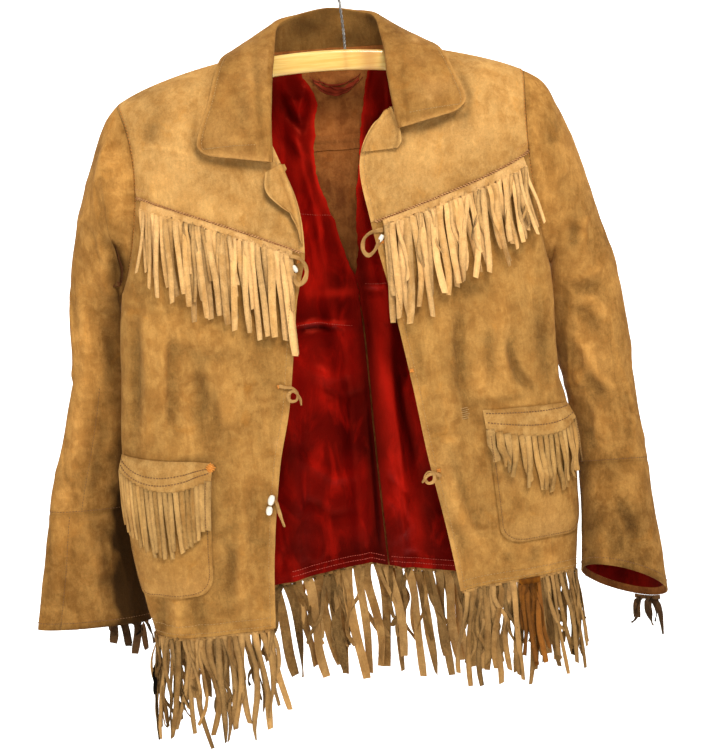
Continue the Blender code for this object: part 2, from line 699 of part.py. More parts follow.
CUFF_CUT = {RIGHT: Cut(5, 26, 36, 28, 3, 0, 0.6, 2, 41), LEFT: Cut(3, 22, 30, 44, 3, 4, 0.6, 2, 42)}
CUFF_ENDS = {RIGHT: (190, 250), LEFT: (280, 322)}           # angles of the cuff where its strands start
YOKE_ENDS = {RIGHT: (0.06, 0.875), LEFT: (0.06, 0.885)}     # shares of the front where its strands start
STRIP_TALL = 7.0
FRINGE_END = 0.77       # share of a front where the fringe of its pocket ends, at the latest
HEM_LAYER = 6.0        # every second strand of the hem hangs this much further out
THONG = 1.3            # wall of the strips and strands
STRAND_GAP = 3.6       # skin of the strip and its strands, above the panel that they lie on


def cut_strands(cut, pitch, layer):
    """Steps of each strand: shifts that add up to its length, and the width left at each.

    Every second strand hangs a layer further out, so a strand may sway across its neighbour
    but not across the next one of its own layer.
    """
    chance = random.Random(cut.seed)
    room = 2 * pitch - cut.share * pitch - 1.0
    strands = []
    leans = []
    for k in range(cut.count):
        along = k / (cut.count - 1)
        length = smooth((0, 0.5, 1), (cut.first, cut.middle, cut.last), along) * chance.uniform(0.84, 1.08)
        lean = chance.uniform(-1, 1) * cut.sway + cut.fan * along ** 4
        if k > 1:
            lean = min(max(lean, leans[k - 2] - room), leans[k - 2] + room)
        leans.append(lean)
        bow = chance.uniform(-1, 1) * min(1.6, room / 3)
        out = layer * (k % 2) + chance.uniform(0.2, 0.6)
        start = chance.uniform(-0.1, 0.1) * pitch
        steps = [((start, out * 0.45, -length * 0.2), cut.share)]
        rest = cut.steps - 1
        for n in range(1, rest + 1):
            swing = (lean - start) / rest + (bow if n < rest else -bow) * (rest > 1)
            share = cut.share if n < rest else cut.share * 0.7
            steps.append(((swing, out * 0.55 / rest, -length * 0.8 / rest), share))
        strands.append(steps)
    return strands


def hang(lows, inward, strands):
    """Turns steps given along, out of and down the strip into steps in the jacket's frame."""
    hung = []
    for k, steps in enumerate(strands):
        run = np.array(lows[k + 1]) - np.array(lows[k])
        along = unit(np.array([run[0], run[1], 0.0]))
        out = -unit(np.array([inward[k][0] + inward[k + 1][0], inward[k][1] + inward[k + 1][1], 0.0]))
        hung.append([(along * shift[0] + out * shift[1] + np.array([0, 0, shift[2]]), share)
                     for shift, share in steps])
    return hung


def clear_of_front(side, lows, strands, height):
    """Moves the steps of strands that hang over a front outwards, to stay above its skin."""
    for a, b, steps in zip(lows, lows[1:], strands):
        here = (np.array(a) + np.array(b)) / 2
        for n, (shift, share) in enumerate(steps):
            here = here + shift
            limit = front_at(side, here[0], here[2], height)[1]
            push = min(0.0, limit - here[1])
            here[1] += push
            steps[n] = (shift + np.array([0, push, 0]), share)
    return strands


def pitch_of(lows):
    return float(np.linalg.norm(np.array(lows[-1]) - np.array(lows[0]))) / (len(lows) - 1)


def make_yoke_fringe(side):
    cut = YOKE_CUT[side]
    shares = np.linspace(*YOKE_ENDS[side], cut.count + 1)
    tops, lows, inward = [], [], []
    for t in shares:
        tops.append(over_front(side, t, YOKE_SEAM + 1, RAISED + THONG))
        lows.append(over_front(side, t, YOKE_SEAM + 1 + STRIP_TALL * 0.8, STRAND_GAP))
        inward.append(-front_normal(side, t, YOKE_SEAM + 2))
    strands = hang(lows, inward, cut_strands(cut, pitch_of(lows), 6.0))
    strands = clear_of_front(side, lows, strands, STRAND_GAP)
    fringe("yoke_fringe_" + side, tops, lows, inward, strands, THONG, "suede_light")


def make_pocket_fringe(side):
    cut = POCKET_CUT[side]
    pocket = POCKETS[side]
    tops, lows, inward = [], [], []
    for across in np.linspace(0.0, 1.0, cut.count + 1):
        t = pocket.near + (min(pocket.far, FRINGE_END) - pocket.near) * across
        down = pocket.top_near + (pocket.top_far - pocket.top_near) * across
        tops.append(over_front(side, t, down, RAISED + THONG))
        lows.append(over_front(side, t, down + BAND_TALL, STRAND_GAP + 3.0))
        inward.append(-front_normal(side, t, down))
    strands = hang(lows, inward, cut_strands(cut, pitch_of(lows), 5.0))
    strands = clear_of_front(side, lows, strands, STRAND_GAP + 3.0)
    fringe("pocket_fringe_" + side, tops, lows, inward, strands, THONG, "suede_light")


def make_hem_fringe(name, skin, shares, inward, cut, kind):
    tops, lows = [], []
    for share, into in zip(shares, inward):
        edge = skin(share, HEM) + into * 0.2
        tops.append(edge + np.array([0, 0, -SEAM]))
        lows.append(edge + np.array([0, 0, -SEAM - STRIP_TALL]))
    strands = hang(lows, inward, cut_strands(cut, pitch_of(lows), HEM_LAYER))
    fringe(name, tops, lows, inward, strands, THONG, kind)


def make_hem_fringes():
    for side in (RIGHT, LEFT):
        cut = HEM_CUT[side]
        shares = np.linspace(0.01, 0.93, cut.count + 1)
        inward = [-front_normal(side, t, HEM) * np.array([1, 1, 0]) for t in shares]
        make_hem_fringe("hem_fringe_" + side, lambda t, d, s=side: front_skin(s, t, d), shares,
                        [unit(v) for v in inward], cut, "suede")
    shares = np.linspace(-0.93, 0.93, BACK_CUT.count + 1)
    inward = []
    for u in shares:
        run = back_skin(min(u + 0.01, 1), HEM) - back_skin(max(u - 0.01, -1), HEM)
        inward.append(unit(np.array([run[1], -run[0], 0])))
    make_hem_fringe("hem_fringe_back", back_skin, shares, inward, BACK_CUT, "suede")
    shares = np.linspace(0.42, 0.60, ORANGE_CUT.count + 1)
    ahead = -(THONG + SEAM + 0.2)
    inward = [unit(-front_normal(LEFT, t, HEM) * np.array([1, 1, 0])) for t in shares]
    tops = [front_skin(LEFT, t, HEM) + v * ahead + np.array([0, 0, -SEAM]) for t, v in zip(shares, inward)]
    lows = [p + np.array([0, 0, -STRIP_TALL]) for p in tops]
    strands = hang(lows, inward, cut_strands(ORANGE_CUT, pitch_of(lows), 3.0))
    strands = [[(shift + np.array([0, -HEM_LAYER / 2, 0]), share) for shift, share in steps]
               for steps in strands]
    fringe("hem_fringe_orange", tops, lows, inward, strands, THONG, "orange")


def make_cuff_fringe(side):
    """A few strands below the back of the cuff, on a short strip just inside its edge."""
    cut = CUFF_CUT[side]
    row = CUFF[side][-1]
    angles = np.linspace(*CUFF_ENDS[side], cut.count + 1)
    tops, lows, inward = [], [], []
    for angle in angles:
        edge = arm_ring(row, angle)
        into = unit((arm_ring(row, 0) + arm_ring(row, 180)) / 2 - edge)
        tops.append(edge + into * 0.2 + np.array([0, 0, -SEAM - 0.7]))
        lows.append(tops[-1] + np.array([0, 0, -STRIP_TALL * 0.6]))
        inward.append(into)
    strands = hang(lows, inward, cut_strands(cut, pitch_of(lows), 3.0))
    fringe("cuff_fringe_" + side, tops, lows, inward, strands, THONG, "suede_dark")


# ---------------------------------------------------------------- lining

# The tear down the middle of the back lining: its two edges, seen from the front.
Tear = namedtuple("Tear", "down right_x left_x")
TEAR = [
    Tear(32, -45, 24), Tear(52, -32, 20), Tear(80, -35, 14), Tear(122, -38, 8), Tear(150, -32, 3),
    Tear(178, -22, 2), Tear(212, -13, 1), Tear(245, -3, -1.5), Tear(300, 0.2, 1.6), Tear(350, 1.4, 2.8),
    Tear(415, 2.4, 3.8), Tear(500, 4.4, 5.8), Tear(572, 6.4, 7.8),
]
LINING_GAP = 3.2
LINING_FOLDS = [
    Fold(-190, -150, -200, -640, 14, 4.0),
    Fold(-150, -250, -160, -640, 10, 3.0),
    Fold(-110, -120, -128, -420, 12, 6.0),
    Fold(-80, -280, -95, -640, 13, 5.0),
    Fold(-52, -130, -30, -420, 10, 7.0),
    Fold(-18, -330, -20, -640, 9, 6.0),
    Fold(26, -160, 24, -640, 9, 7.0),
    Fold(58, -200, 62, -620, 12, 5.0),
    Fold(100, -140, 110, -620, 12, 6.0),
    Fold(145, -200, 150, -620, 12, 3.5),
]


def lining_point(x, down):
    """The visible side of the back lining, inside the back."""
    point, normal = back_at(x, down)
    return point - normal * (SUEDE + LINING_GAP + SATIN + folds(LINING_FOLDS, x, point[2]))


def make_back_lining(side):
    sign = OUTWARD[side]
    downs = [row.down for row in TEAR]
    grid = []
    for down in downs:
        tear_x = smooth(downs, column(TEAR, side + "_x"), down)
        side_x = back_skin(sign * 0.82, down)[0]
        grid.append([lining_point(tear_x + (side_x - tear_x) * k, down) for k in np.linspace(0, 1, 9)])
    grid = np.array(grid)
    wall("lining_back_" + side, grid, inward_of(grid, -sign), SATIN, "satin")


def make_cuff_lining(side):
    """A short tube of satin inside the cuff, a little above its edge."""
    places = (1.6, 2.2, 2.9)
    grid = []
    for at in places:
        row = ArmRow(*[smooth(range(len(CUFF[side])), [r[k] for r in CUFF[side]], at) for k in range(9)])
        grid.append([arm_ring(row, angle) for angle in sum(arm_angles(side), [])])
    grid = np.array(grid)
    inward = inward_of(grid, OUTWARD[side], wrap=True)
    wall("lining_cuff_" + side, grid + inward * (SUEDE + 0.9), inward, SATIN, "satin", wrap=True)


# ---------------------------------------------------------------- ties, beads and hanger

# Thong ties: the first place of each is on its front, by the opening edge, and the others hang
# free in the opening.  Places seen from the front.
TIES = {
    "tie_right_top": (RIGHT, [(-64, -293), (-57, -300), (-53.5, -312), (-56, -322), (-62, -325)]),
    "tie_right_mid": (RIGHT, [(-85, -430), (-79, -433), (-73, -441), (-71, -449), (-76, -451)]),
    "tie_right_low": (RIGHT, [(-109, -536), (-103, -541), (-102, -552), (-101, -563), (-99.5, -573)]),
    "tie_left_top": (LEFT, [(21, -277), (12, -279), (5.5, -285), (4.5, -294), (9, -300)]),
    "tie_left_low": (LEFT, [(62, -532), (54, -526), (48, -530), (50, -537), (55, -538)]),
}
TIE_RADIUS = 1.5
# Beads: a place seen from the front, half its length and half its width.
Bead = namedtuple("Bead", "side x z half_long half_wide lean")
BEADS = {
    "bead_right_top": Bead(RIGHT, -66, -310, 4.0, 2.4, -0.4),
    "bead_right_low_1": Bead(RIGHT, -109, -545, 5.2, 3.4, 0.35),
    "bead_right_low_2": Bead(RIGHT, -112, -556, 4.6, 3.4, 0.2),
    "bead_left_top": Bead(LEFT, 23, -286, 4.0, 2.4, 0.5),
}


def tube(name, points, radius, kind, resolution=1):
    """A thin round piece along a poly line, as a curve with filled caps."""
    path = bpy.data.curves.new(name, "CURVE")
    path.dimensions = "3D"
    path.bevel_depth = radius * MM
    path.bevel_resolution = resolution
    path.use_fill_caps = True
    spline = path.splines.new("POLY")
    spline.points.add(len(points) - 1)
    for slot, point in zip(spline.points, points):
        slot.co = (*(np.array(point, float) * MM), 1.0)
    path.materials.append(material(kind, name))
    piece = bpy.data.objects.new(name, path)
    JACKET.objects.link(piece)
    return piece


def make_tie(name, side, places):
    knots = list(range(len(places)))
    root = front_at(side, *places[0], TIE_RADIUS + RAISED)
    points = [root]
    for at in np.linspace(0, len(places) - 1, 9)[1:]:
        x, z = smooth(knots, places, at)
        points.append(np.array([x, root[1] - 1.2 - 0.4 * at, z]))
    tube(name, points, TIE_RADIUS, "suede_light", 0)


def make_bead(name, bead):
    bm = bmesh.new()
    bmesh.ops.create_uvsphere(bm, u_segments=10, v_segments=6, radius=1.0)
    centre = front_at(bead.side, bead.x, bead.z, bead.half_wide + RAISED)
    for vert in bm.verts:
        x, y, z = vert.co.x * bead.half_wide, vert.co.y * bead.half_wide, vert.co.z * bead.half_long
        turned = (x * math.cos(bead.lean) + z * math.sin(bead.lean), y,
                  z * math.cos(bead.lean) - x * math.sin(bead.lean))
        vert.co = (centre + np.array(turned)) * MM
    from_bmesh(name, bm, "bead")


def bar_top(x):
    return BAR_TOP + BAR_TILT * x - BAR_BOW * x * x


def make_hanger():
    """The bar is a rounded section swept along its bow; the wire is stem and crook in one."""
    section = [(-BAR_THICK / 2, -BAR_ROUND), (-BAR_THICK / 2 + BAR_ROUND, 0),
               (BAR_THICK / 2 - BAR_ROUND, 0), (BAR_THICK / 2, -BAR_ROUND),
               (BAR_THICK / 2, BAR_ROUND - BAR_TALL), (BAR_THICK / 2 - BAR_ROUND, -BAR_TALL),
               (BAR_ROUND - BAR_THICK / 2, -BAR_TALL), (-BAR_THICK / 2, BAR_ROUND - BAR_TALL)]
    bm = bmesh.new()
    rings = []
    for x in np.linspace(-BAR_HALF, BAR_HALF, 13):
        slim = 1.0 if abs(x) < BAR_HALF - 20 else 0.8
        rings.append([bm.verts.new((x * MM, y * slim * MM, (bar_top(x) + z * slim) * MM))
                      for y, z in section])
    for a, b in zip(rings, rings[1:]):
        for k in range(len(section)):
            bm.faces.new((a[k], a[(k + 1) % len(section)], b[(k + 1) % len(section)], b[k]))
    bm.faces.new(rings[0])
    bm.faces.new(rings[-1])
    from_bmesh("hanger_bar", bm, "wood")
    points = [(2, 0, bar_top(2) + SEAM), (1.5, 0, -70), (0, 0, -46)]
    centre_z = -CROOK_RADIUS
    for k in range(15):
        a = math.radians(250 - 17 * k)
        points.append((CROOK_RADIUS * math.cos(a), 0, centre_z + CROOK_RADIUS * math.sin(a)))
    tube("hanger_hook", points, WIRE / 2, "wire", 1)


JACKET = None


def main():
    global JACKET
    for item in list(bpy.data.objects):
        bpy.data.objects.remove(item, do_unlink=True)
    JACKET = collection("fringed_buckskin_jacket")
    make_hanger()
    make_back()
    make_collar()
    for side in (RIGHT, LEFT):
        make_fronts(side)
        make_sleeve(side)
        make_lapel(side)
        make_pocket(side)
        make_pocket_fringe(side)
        make_yoke_fringe(side)
        make_cuff_fringe(side)
        make_back_lining(side)
        make_cuff_lining(side)
    make_hem_fringes()
    for name, (side, places) in TIES.items():
        make_tie(name, side, places)
    for name, bead in BEADS.items():
        make_bead(name, bead)


main()
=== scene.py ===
"""The look of the fringed buckskin jacket: fine cloth, sewing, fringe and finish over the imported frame.

Lengths in the tables are millimetres in the frame's axes: +X the viewer's right, +Y the back, +Z up.
The form repeats the part's own tables, so each piece lies where its solid does.
"""
import math
import random
from collections import namedtuple
from functools import partial

import bpy
import numpy as np
from mathutils import Matrix, Vector
from mathutils.bvhtree import BVHTree


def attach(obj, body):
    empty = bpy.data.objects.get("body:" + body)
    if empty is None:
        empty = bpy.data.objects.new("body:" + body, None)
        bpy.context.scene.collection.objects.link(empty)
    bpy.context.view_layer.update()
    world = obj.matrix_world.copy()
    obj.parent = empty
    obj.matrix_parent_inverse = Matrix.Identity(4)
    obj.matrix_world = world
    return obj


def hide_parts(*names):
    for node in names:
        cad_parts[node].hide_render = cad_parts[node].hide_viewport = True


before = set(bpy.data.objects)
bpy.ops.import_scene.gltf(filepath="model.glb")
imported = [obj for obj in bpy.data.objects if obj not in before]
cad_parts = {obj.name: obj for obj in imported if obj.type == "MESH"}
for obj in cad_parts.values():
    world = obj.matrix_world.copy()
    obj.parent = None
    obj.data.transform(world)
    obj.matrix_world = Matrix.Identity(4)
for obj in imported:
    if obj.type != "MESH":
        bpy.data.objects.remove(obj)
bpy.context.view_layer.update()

MM = 0.001
SUEDE, SATIN, COLLAR_WALL, SEAM, RAISED, THONG = 1.6, 1.0, 2.0, 0.3, 0.7, 1.3
RIGHT, LEFT = "right", "left"
SIDES = (RIGHT, LEFT)
OUTWARD = {RIGHT: -1.0, LEFT: 1.0}
YOKE_SEAM, UNDERARM, WAIST, POCKET, SKIRT, HEM = 200.0, 250.0, 350.0, 415.0, 500.0, 585.0
BACK_SEAM = 100.0
NECK_END, NECK_PULL = 0.36, (0.0, 62.0, 4.0)      # the neck: half its share of the back's top, its bow
UP, LEVEL, FORWARD = np.array([0.0, 0.0, 1.0]), np.array([1.0, 1.0, 0.0]), np.array([0.0, -1.0, 0.0])


def rows(kind, *table):
    return [kind(*row) for row in table]


Crease = namedtuple("Crease", "width height path")


def lines(*table):
    """Creases and ridges: half the width, the height (minus: a valley), and the way as pairs of places."""
    return [Crease(wide, high, np.array(path, float).reshape(-1, 2)) for wide, high, *path in table]


# ---------------------------------------------------------------- the form's tables

# The opening edge and the corner of each front, row by row; lift raises a row's middle.
FrontRow = namedtuple("FrontRow", "down edge_x edge_y edge_z turn_x turn_y lift arm")
FRONT = {
    RIGHT: rows(FrontRow,
        (0, -84, 0, -92, -212, 0, 8, 0), (27, -89, -23, -119, -200, -23, 7, 22),
        (60, -91, -35, -152, -206, -42, 5, 45), (105, -75, -43, -195, -206, -52, 4, 66),
        (150, -58, -48, -245, -206, -54, 4, 83), (YOKE_SEAM, -55, -50, -296, -212, -55, 4, 98),
        (225, -61, -50, -322, -232, -54, 4, 132), (UNDERARM, -67, -50, -345, -270, -50, 3, 180),
        (WAIST, -83, -51, -450, -292, -47, 0, 180), (POCKET, -98, -52, -512, -298, -47, 0, 180),
        (SKIRT, -111, -52, -600, -288, -46, -2, 180), (HEM, -117, -50, -682, -272, -42, -6, 180),
    ),
    LEFT: rows(FrontRow,
        (0, 59, 0, -94, 162, 0, 4.5, 0), (27, 64, -23, -119, 150, -23, 4, 22),
        (60, 57, -35, -148, 160, -42, 2, 43), (105, 22, -42, -174, 160, -50, 0, 62),
        (150, 7, -47, -212, 160, -53, -2, 77), (YOKE_SEAM, 14, -50, -270, 166, -55, -3, 91),
        (225, 20, -50, -302, 190, -54, -1, 130), (UNDERARM, 27, -50, -335, 222, -50, 0, 180),
        (WAIST, 44, -51, -440, 232, -46, 0, 180), (POCKET, 54, -52, -512, 242, -46, 1, 180),
        (SKIRT, 68, -52, -590, 236, -44, 3, 180), (HEM, 78, -50, -658, 228, -40, 6, 180),
    ),
}
# The armhole: its top, front, bottom and back points.
ARMHOLE = {
    RIGHT: ((-235, 0, -132.5), (-222, -33, -212), (-243, 4, -325), (-215, 36, -222)),
    LEFT: ((180.5, 0, -128), (180, -33, -208), (190, 4, -322), (171, 36, -220)),
}
# The side seam below the armhole.
SideRow = namedtuple("SideRow", "down x y z")
SIDE = {
    RIGHT: rows(SideRow,
        (UNDERARM, -243, 4, -325), (WAIST, -251, 6, -438), (POCKET, -254, 6, -505), (SKIRT, -252, 5, -600),
        (HEM, -240, 3, -681),
    ),
    LEFT: rows(SideRow,
        (UNDERARM, 190, 4, -322), (WAIST, 188, 6, -434), (POCKET, 197, 6, -502), (SKIRT, 202, 5, -586),
        (HEM, 198, 3, -653),
    ),
}
# The back: its middle, the two controls that round it into the sides, and the armhole angle.
BackRow = namedtuple("BackRow", "down spine_x spine_y spine_z right_x left_x corner_y"
                                " lift_right lift_left arm")
BACK = rows(BackRow,
    (0, -13, 47, -88, -150, 110, 0, 0, 0, 360), (30, -14, 50, -114, -205, 158, 22, 4, 2, 338),
    (62, -14, 51, -148, -200, 150, 42, 3, 2, 315), (BACK_SEAM, -15, 51, -187, -198, 148, 52, 2, 0, 292),
    (150, -16, 50, -240, -200, 152, 52, 0, 0, 250), (200, -17, 49, -290, -210, 162, 50, 0, 0, 215),
    (UNDERARM, -18, 48, -335, -226, 174, 48, 0, 0, 180), (WAIST, -18, 47, -432, -232, 176, 46, 0, 0, 180),
    (POCKET, -18, 47, -500, -234, 182, 46, 0, 0, 180), (SKIRT, -16, 48, -572, -232, 186, 46, 0, -6, 180),
    (HEM, -11, 48, -643, -222, 184, 44, 0, -14, 180),
)
# Soft folds of the panels: a line from top to low, its width, and its height (minus: a trough).
Fold = namedtuple("Fold", "top_x top_z low_x low_z width height")
FOLDS = {
    RIGHT: rows(Fold,
        (-205, -300, -225, -480, 16, 4.0), (-180, -320, -190, -560, 14, -4.0),
        (-140, -330, -150, -640, 20, 3.5), (-105, -330, -128, -620, 12, -3.0),
        (-175, -150, -190, -270, 18, 3.0), (-215, -590, -210, -690, 16, 4.5),
        (-160, -600, -158, -700, 14, -3.5),
    ),
    LEFT: rows(Fold,
        (60, -290, 84, -560, 15, 3.5), (92, -300, 118, -600, 14, -4.0), (128, -290, 142, -400, 18, 3.5),
        (168, -270, 175, -385, 12, -3.0), (110, -140, 130, -260, 20, 2.5), (150, -590, 156, -670, 16, 3.5),
        (100, -590, 104, -670, 14, -3.0),
    ),
    "back": rows(Fold,
        (-150, -200, -170, -560, 26, 5.0), (-95, -220, -105, -640, 22, -5.0),
        (-40, -200, -46, -600, 26, 4.5), (4, -240, 8, -640, 14, -6.0), (60, -220, 66, -600, 24, 5.0),
        (120, -240, 132, -640, 24, -4.5), (-200, -420, -200, -660, 18, -3.5),
        (150, -420, 160, -640, 18, 3.0),
    ),
}
FOLD_EASE = 45.0       # a fold fades in and out over this length
# Sleeves: each ring's outer and inner points, and the way from its middle to its front.
ArmRow = namedtuple("ArmRow", "out_x out_y out_z in_x in_y in_z deep_x deep_y deep_z")
SLEEVE = {
    RIGHT: rows(ArmRow,
        (-249, 3, -149, -248, 6, -329, -3, -34, 0), (-265, 7, -178, -251, 10, -335, 2, -34, 0),
        (-281, 11, -222, -254, 17, -344, 6, -33, 0), (-293, 14, -260, -255, 27, -357, 9, -30, 0),
        (-303, 17, -302, -252, 39, -376, 11, -26, 0), (-308, 18, -350, -247, 51, -401, 12, -22, 0),
        (-311, 18, -400, -243, 59, -428, 12, -20, 0), (-317, 16, -438, -242, 63, -454, 11, -19, 0),
        (-333, 10, -495, -246, 61, -502, 11, -18, 0),
    ),
    LEFT: rows(ArmRow,
        (204, 3, -144, 196, 9, -327, 4, -34, 0), (215, 6, -166, 199, 14, -333, 1, -36, 0),
        (229, 9, -198, 198, 20, -341, -2, -37, 0), (241, 11, -237, 197, 25, -353, -5, -37, 0),
        (252, 12, -277, 195, 29, -370, -7, -36, 0), (264, 12, -320, 195, 31, -392, -8, -35, 0),
        (272, 11, -366, 196, 31, -416, -8, -34, 0), (278, 8, -415, 202, 28, -436, -8, -33, 0),
        (279, 3, -452, 209, 22, -464, -8, -32, 0),
    ),
}
CUFF = {
    RIGHT: rows(ArmRow,
        (-340, 6, -518, -250, 59, -525, 11, -18, 0), (-350, 1, -560, -255, 52, -567, 10, -18, 0),
        (-360, -4, -616, -255, 44, -624, 10, -18, 0), (-372, -8, -675, -257, 36, -684, 9, -18, 0),
    ),
    LEFT: rows(ArmRow,
        (281, -2, -485, 212, 17, -494, -7, -31, 1), (285, -11, -530, 215, 6, -534, -6, -30, 5),
        (290, -23, -600, 213, -13, -590, -5, -28, 12), (296, -36, -677, 207, -30, -651, -6, -25, 20),
    ),
}
# The collar, from the right end round the neck to the left end: seam, fold and outer edge.
CollarRow = namedtuple("CollarRow", "seam fold outer")
COLLAR = rows(CollarRow,
    ((-90, -46, -194), (-79, -51, -202), (-152, -55, -189)),
    ((-88, -41, -168), (-78, -46, -166), (-153, -52, -174)),
    ((-86, -27, -132), (-75, -32, -128), (-140, -37, -138)),
    ((-84.5, -13, -109), (-72, -16, -102), (-131, -20, -107)),
    ((-80.5, 1, -93.6), (-69, 4, -79), (-123, 4, -91)), ((-75, 24, -90.2), (-65, 28, -60), (-106, 38, -87)),
    ((-47, 42, -89.2), (-42, 47, -51), (-62, 65, -98)),
    ((-13, 47, -89.2), (-13, 51, -47.5), (-14, 68, -104)), ((21, 42, -89.8), (16, 47, -52), (36, 65, -98)),
    ((49, 24, -91.6), (35, 28, -59), (74, 40, -89)), ((55.5, 1, -95.6), (39, 4, -79), (94, 4, -95)),
    ((60, -13, -109), (41, -16, -102), (103, -18, -108)),
    ((60, -27, -130), (42, -32, -125), (110, -34, -127)),
    ((55, -41, -151), (44, -46, -152), (118, -50, -150)),
    ((57, -46, -171), (48, -51, -178), (114, -55, -164)),
)
FOLD_RADIUS = 4.8

Pocket = namedtuple("Pocket", "near near_low far top_near top_far low")
POCKETS = {
    RIGHT: Pocket(0.261, 0.285, 0.82, 408, 400, 540),
    LEFT: Pocket(0.263, 0.245, 0.78, 379, 385, 531),
}
CORNER, CORNER_NEAR, CORNER_FAR = 22.0, 0.09, 0.12    # the rounding: depth, and shares at each side
BAND_TALL = 15.0

# Fringes as the part cuts them: how many strands, their lengths, how far they sway and fan out, the
# share of the pitch that is cloth, the steps of each, and the seed of their chances.
Cut = namedtuple("Cut", "count first middle last sway fan share steps seed")
YOKE_CUT = {RIGHT: Cut(29, 106, 94, 66, 6, 6, 0.72, 3, 11), LEFT: Cut(26, 102, 90, 56, 8, 22, 0.72, 3, 12)}
HEM_CUT = {RIGHT: Cut(24, 96, 106, 96, 10, 8, 0.68, 3, 31), LEFT: Cut(25, 92, 96, 88, 10, 0, 0.68, 3, 32)}
BACK_CUT = Cut(46, 92, 114, 92, 10, 0, 0.68, 3, 33)
ORANGE_CUT = Cut(4, 74, 88, 80, 6, 0, 0.7, 3, 34)
CUFF_CUT = {RIGHT: Cut(5, 26, 36, 28, 3, 0, 0.6, 2, 41), LEFT: Cut(3, 22, 30, 44, 3, 4, 0.6, 2, 42)}
CUFF_ENDS = {RIGHT: (190, 250), LEFT: (280, 322)}           # angles of the cuff where its strands start
YOKE_ENDS = {RIGHT: (0.06, 0.875), LEFT: (0.06, 0.885)}     # shares of the front where its strands start
STRIP_TALL = 7.0
FRINGE_END = 0.77       # share of a front where the fringe of its pocket ends, at the latest
HEM_LAYER = 6.0
STRAND_GAP = 3.6

# The torn edges of the lining's halves.
Tear = namedtuple("Tear", "down right_x left_x")
TEAR = rows(Tear,
    (24, -47, 26), (32, -45, 24), (52, -32, 20), (80, -35, 14), (122, -38, 8), (150, -32, 3), (178, -22, 2),
    (212, -13, 1), (245, -3, -1.5), (300, 0.2, 1.6), (350, 1.4, 2.8), (415, 2.4, 3.8), (500, 4.4, 5.8),
    (572, 6.4, 7.8),
)
LINING_GAP = 3.2
LINING_FOLDS = rows(Fold,
    (-190, -150, -200, -640, 14, 4.0), (-150, -250, -160, -640, 10, 3.0), (-110, -120, -128, -420, 12, 6.0),
    (-80, -280, -95, -640, 13, 5.0), (-52, -130, -30, -420, 10, 7.0), (-18, -330, -20, -640, 9, 6.0),
    (26, -160, 24, -640, 9, 7.0), (58, -200, 62, -620, 12, 5.0), (100, -140, 110, -620, 12, 6.0),
    (145, -200, 150, -620, 12, 3.5),
)
Bead = namedtuple("Bead", "side x z half_long half_wide lean")
BEADS = {
    "bead_right_top": Bead(RIGHT, -66, -310, 4.0, 2.4, -0.4),
    "bead_right_low_1": Bead(RIGHT, -109, -545, 5.2, 3.4, 0.35),
    "bead_right_low_2": Bead(RIGHT, -112, -556, 4.6, 3.4, 0.2),
    "bead_left_top": Bead(LEFT, 23, -286, 4.0, 2.4, 0.5),
}
BAR_TOP, BAR_TILT, BAR_BOW = -94.0, -0.045, 0.00086
BAR_HALF, BAR_TALL, BAR_THICK = 165.0, 21.0, 8.0
WIRE = 2.6
CROOK_RADIUS = 17.0


# ---------------------------------------------------------------- the form, for whole grids at once

def grids(*values):
    return np.broadcast_arrays(*(np.asarray(value, float) for value in values))


def unit(v):
    v = np.asarray(v, float)
    return v / np.maximum(np.linalg.norm(v, axis=-1, keepdims=True), 1e-9)


def step_up(v):
    v = np.clip(v, 0, 1)
    return v * v * (3 - 2 * v)


def bell(far, width):
    """A bump of height 1 that fades with the distance from its middle."""
    return np.exp(-(far / width) ** 2)


def hermite(a, b, slope_a, slope_b, s):
    return ((1 + 2 * s) * (1 - s) ** 2 * a + s * (1 - s) ** 2 * slope_a
            + s * s * (3 - 2 * s) * b + s * s * (s - 1) * slope_b)


def smooth(knots, values, at):
    """Smooth curve through a short table, read at an array of places."""
    knots, values, at = (np.asarray(v, float) for v in (knots, values, at))
    k = np.clip(np.searchsorted(knots, at, side="right") - 1, 0, len(knots) - 2)
    every, more = np.arange(len(knots)), (1,) * (values.ndim - 1)
    lo, hi = np.maximum(every - 1, 0), np.minimum(every + 1, len(knots) - 1)
    slope = (values[hi] - values[lo]) / (knots[hi] - knots[lo]).reshape((-1,) + more)
    span = (knots[k + 1] - knots[k]).reshape(k.shape + more)
    s = (at - knots[k]).reshape(span.shape) / span
    return hermite(values[k], values[k + 1], span * slope[k], span * slope[k + 1], s)


def through(points, at):
    """The smooth curve through points, read at places counted in points."""
    return smooth(np.arange(len(points)), points, at)


def read(table, names, at):
    """Columns of a table, read at an array of depths."""
    down, *columns = ([getattr(row, name) for row in table] for name in ("down " + names).split())
    return np.stack([smooth(down, values, at) for values in columns], -1)


def armhole(side, angle):
    top, front, low, back = (np.array(p, float) for p in ARMHOLE[side])
    a = np.radians(angle)[..., None]
    return ((top + front + low + back) / 4 + (top - low) / 2 * np.cos(a)
            + (front - back) / 2 * np.sin(a) + (top - front + low - back) / 4 * np.cos(2 * a))


def arm_angle(table, down):
    return read(table, "arm", np.minimum(down, UNDERARM))[..., 0]


def outer_point(side, table, down):
    seam = read(SIDE[side], "x y z", np.maximum(down, UNDERARM))
    return np.where((down <= UNDERARM)[..., None], armhole(side, arm_angle(table, down)), seam)


def folds(table, x, z):
    height = np.zeros(x.shape)
    for fold in table:
        tall = fold.top_z - fold.low_z
        run, ease = (fold.top_z - z) / tall, FOLD_EASE / tall
        line_x = fold.top_x + (fold.low_x - fold.top_x) * run
        fade = step_up(np.minimum(run + ease, 1 + ease - run) / (2 * ease))
        height += fold.height * fade * bell(x - line_x, fold.width)
    return height


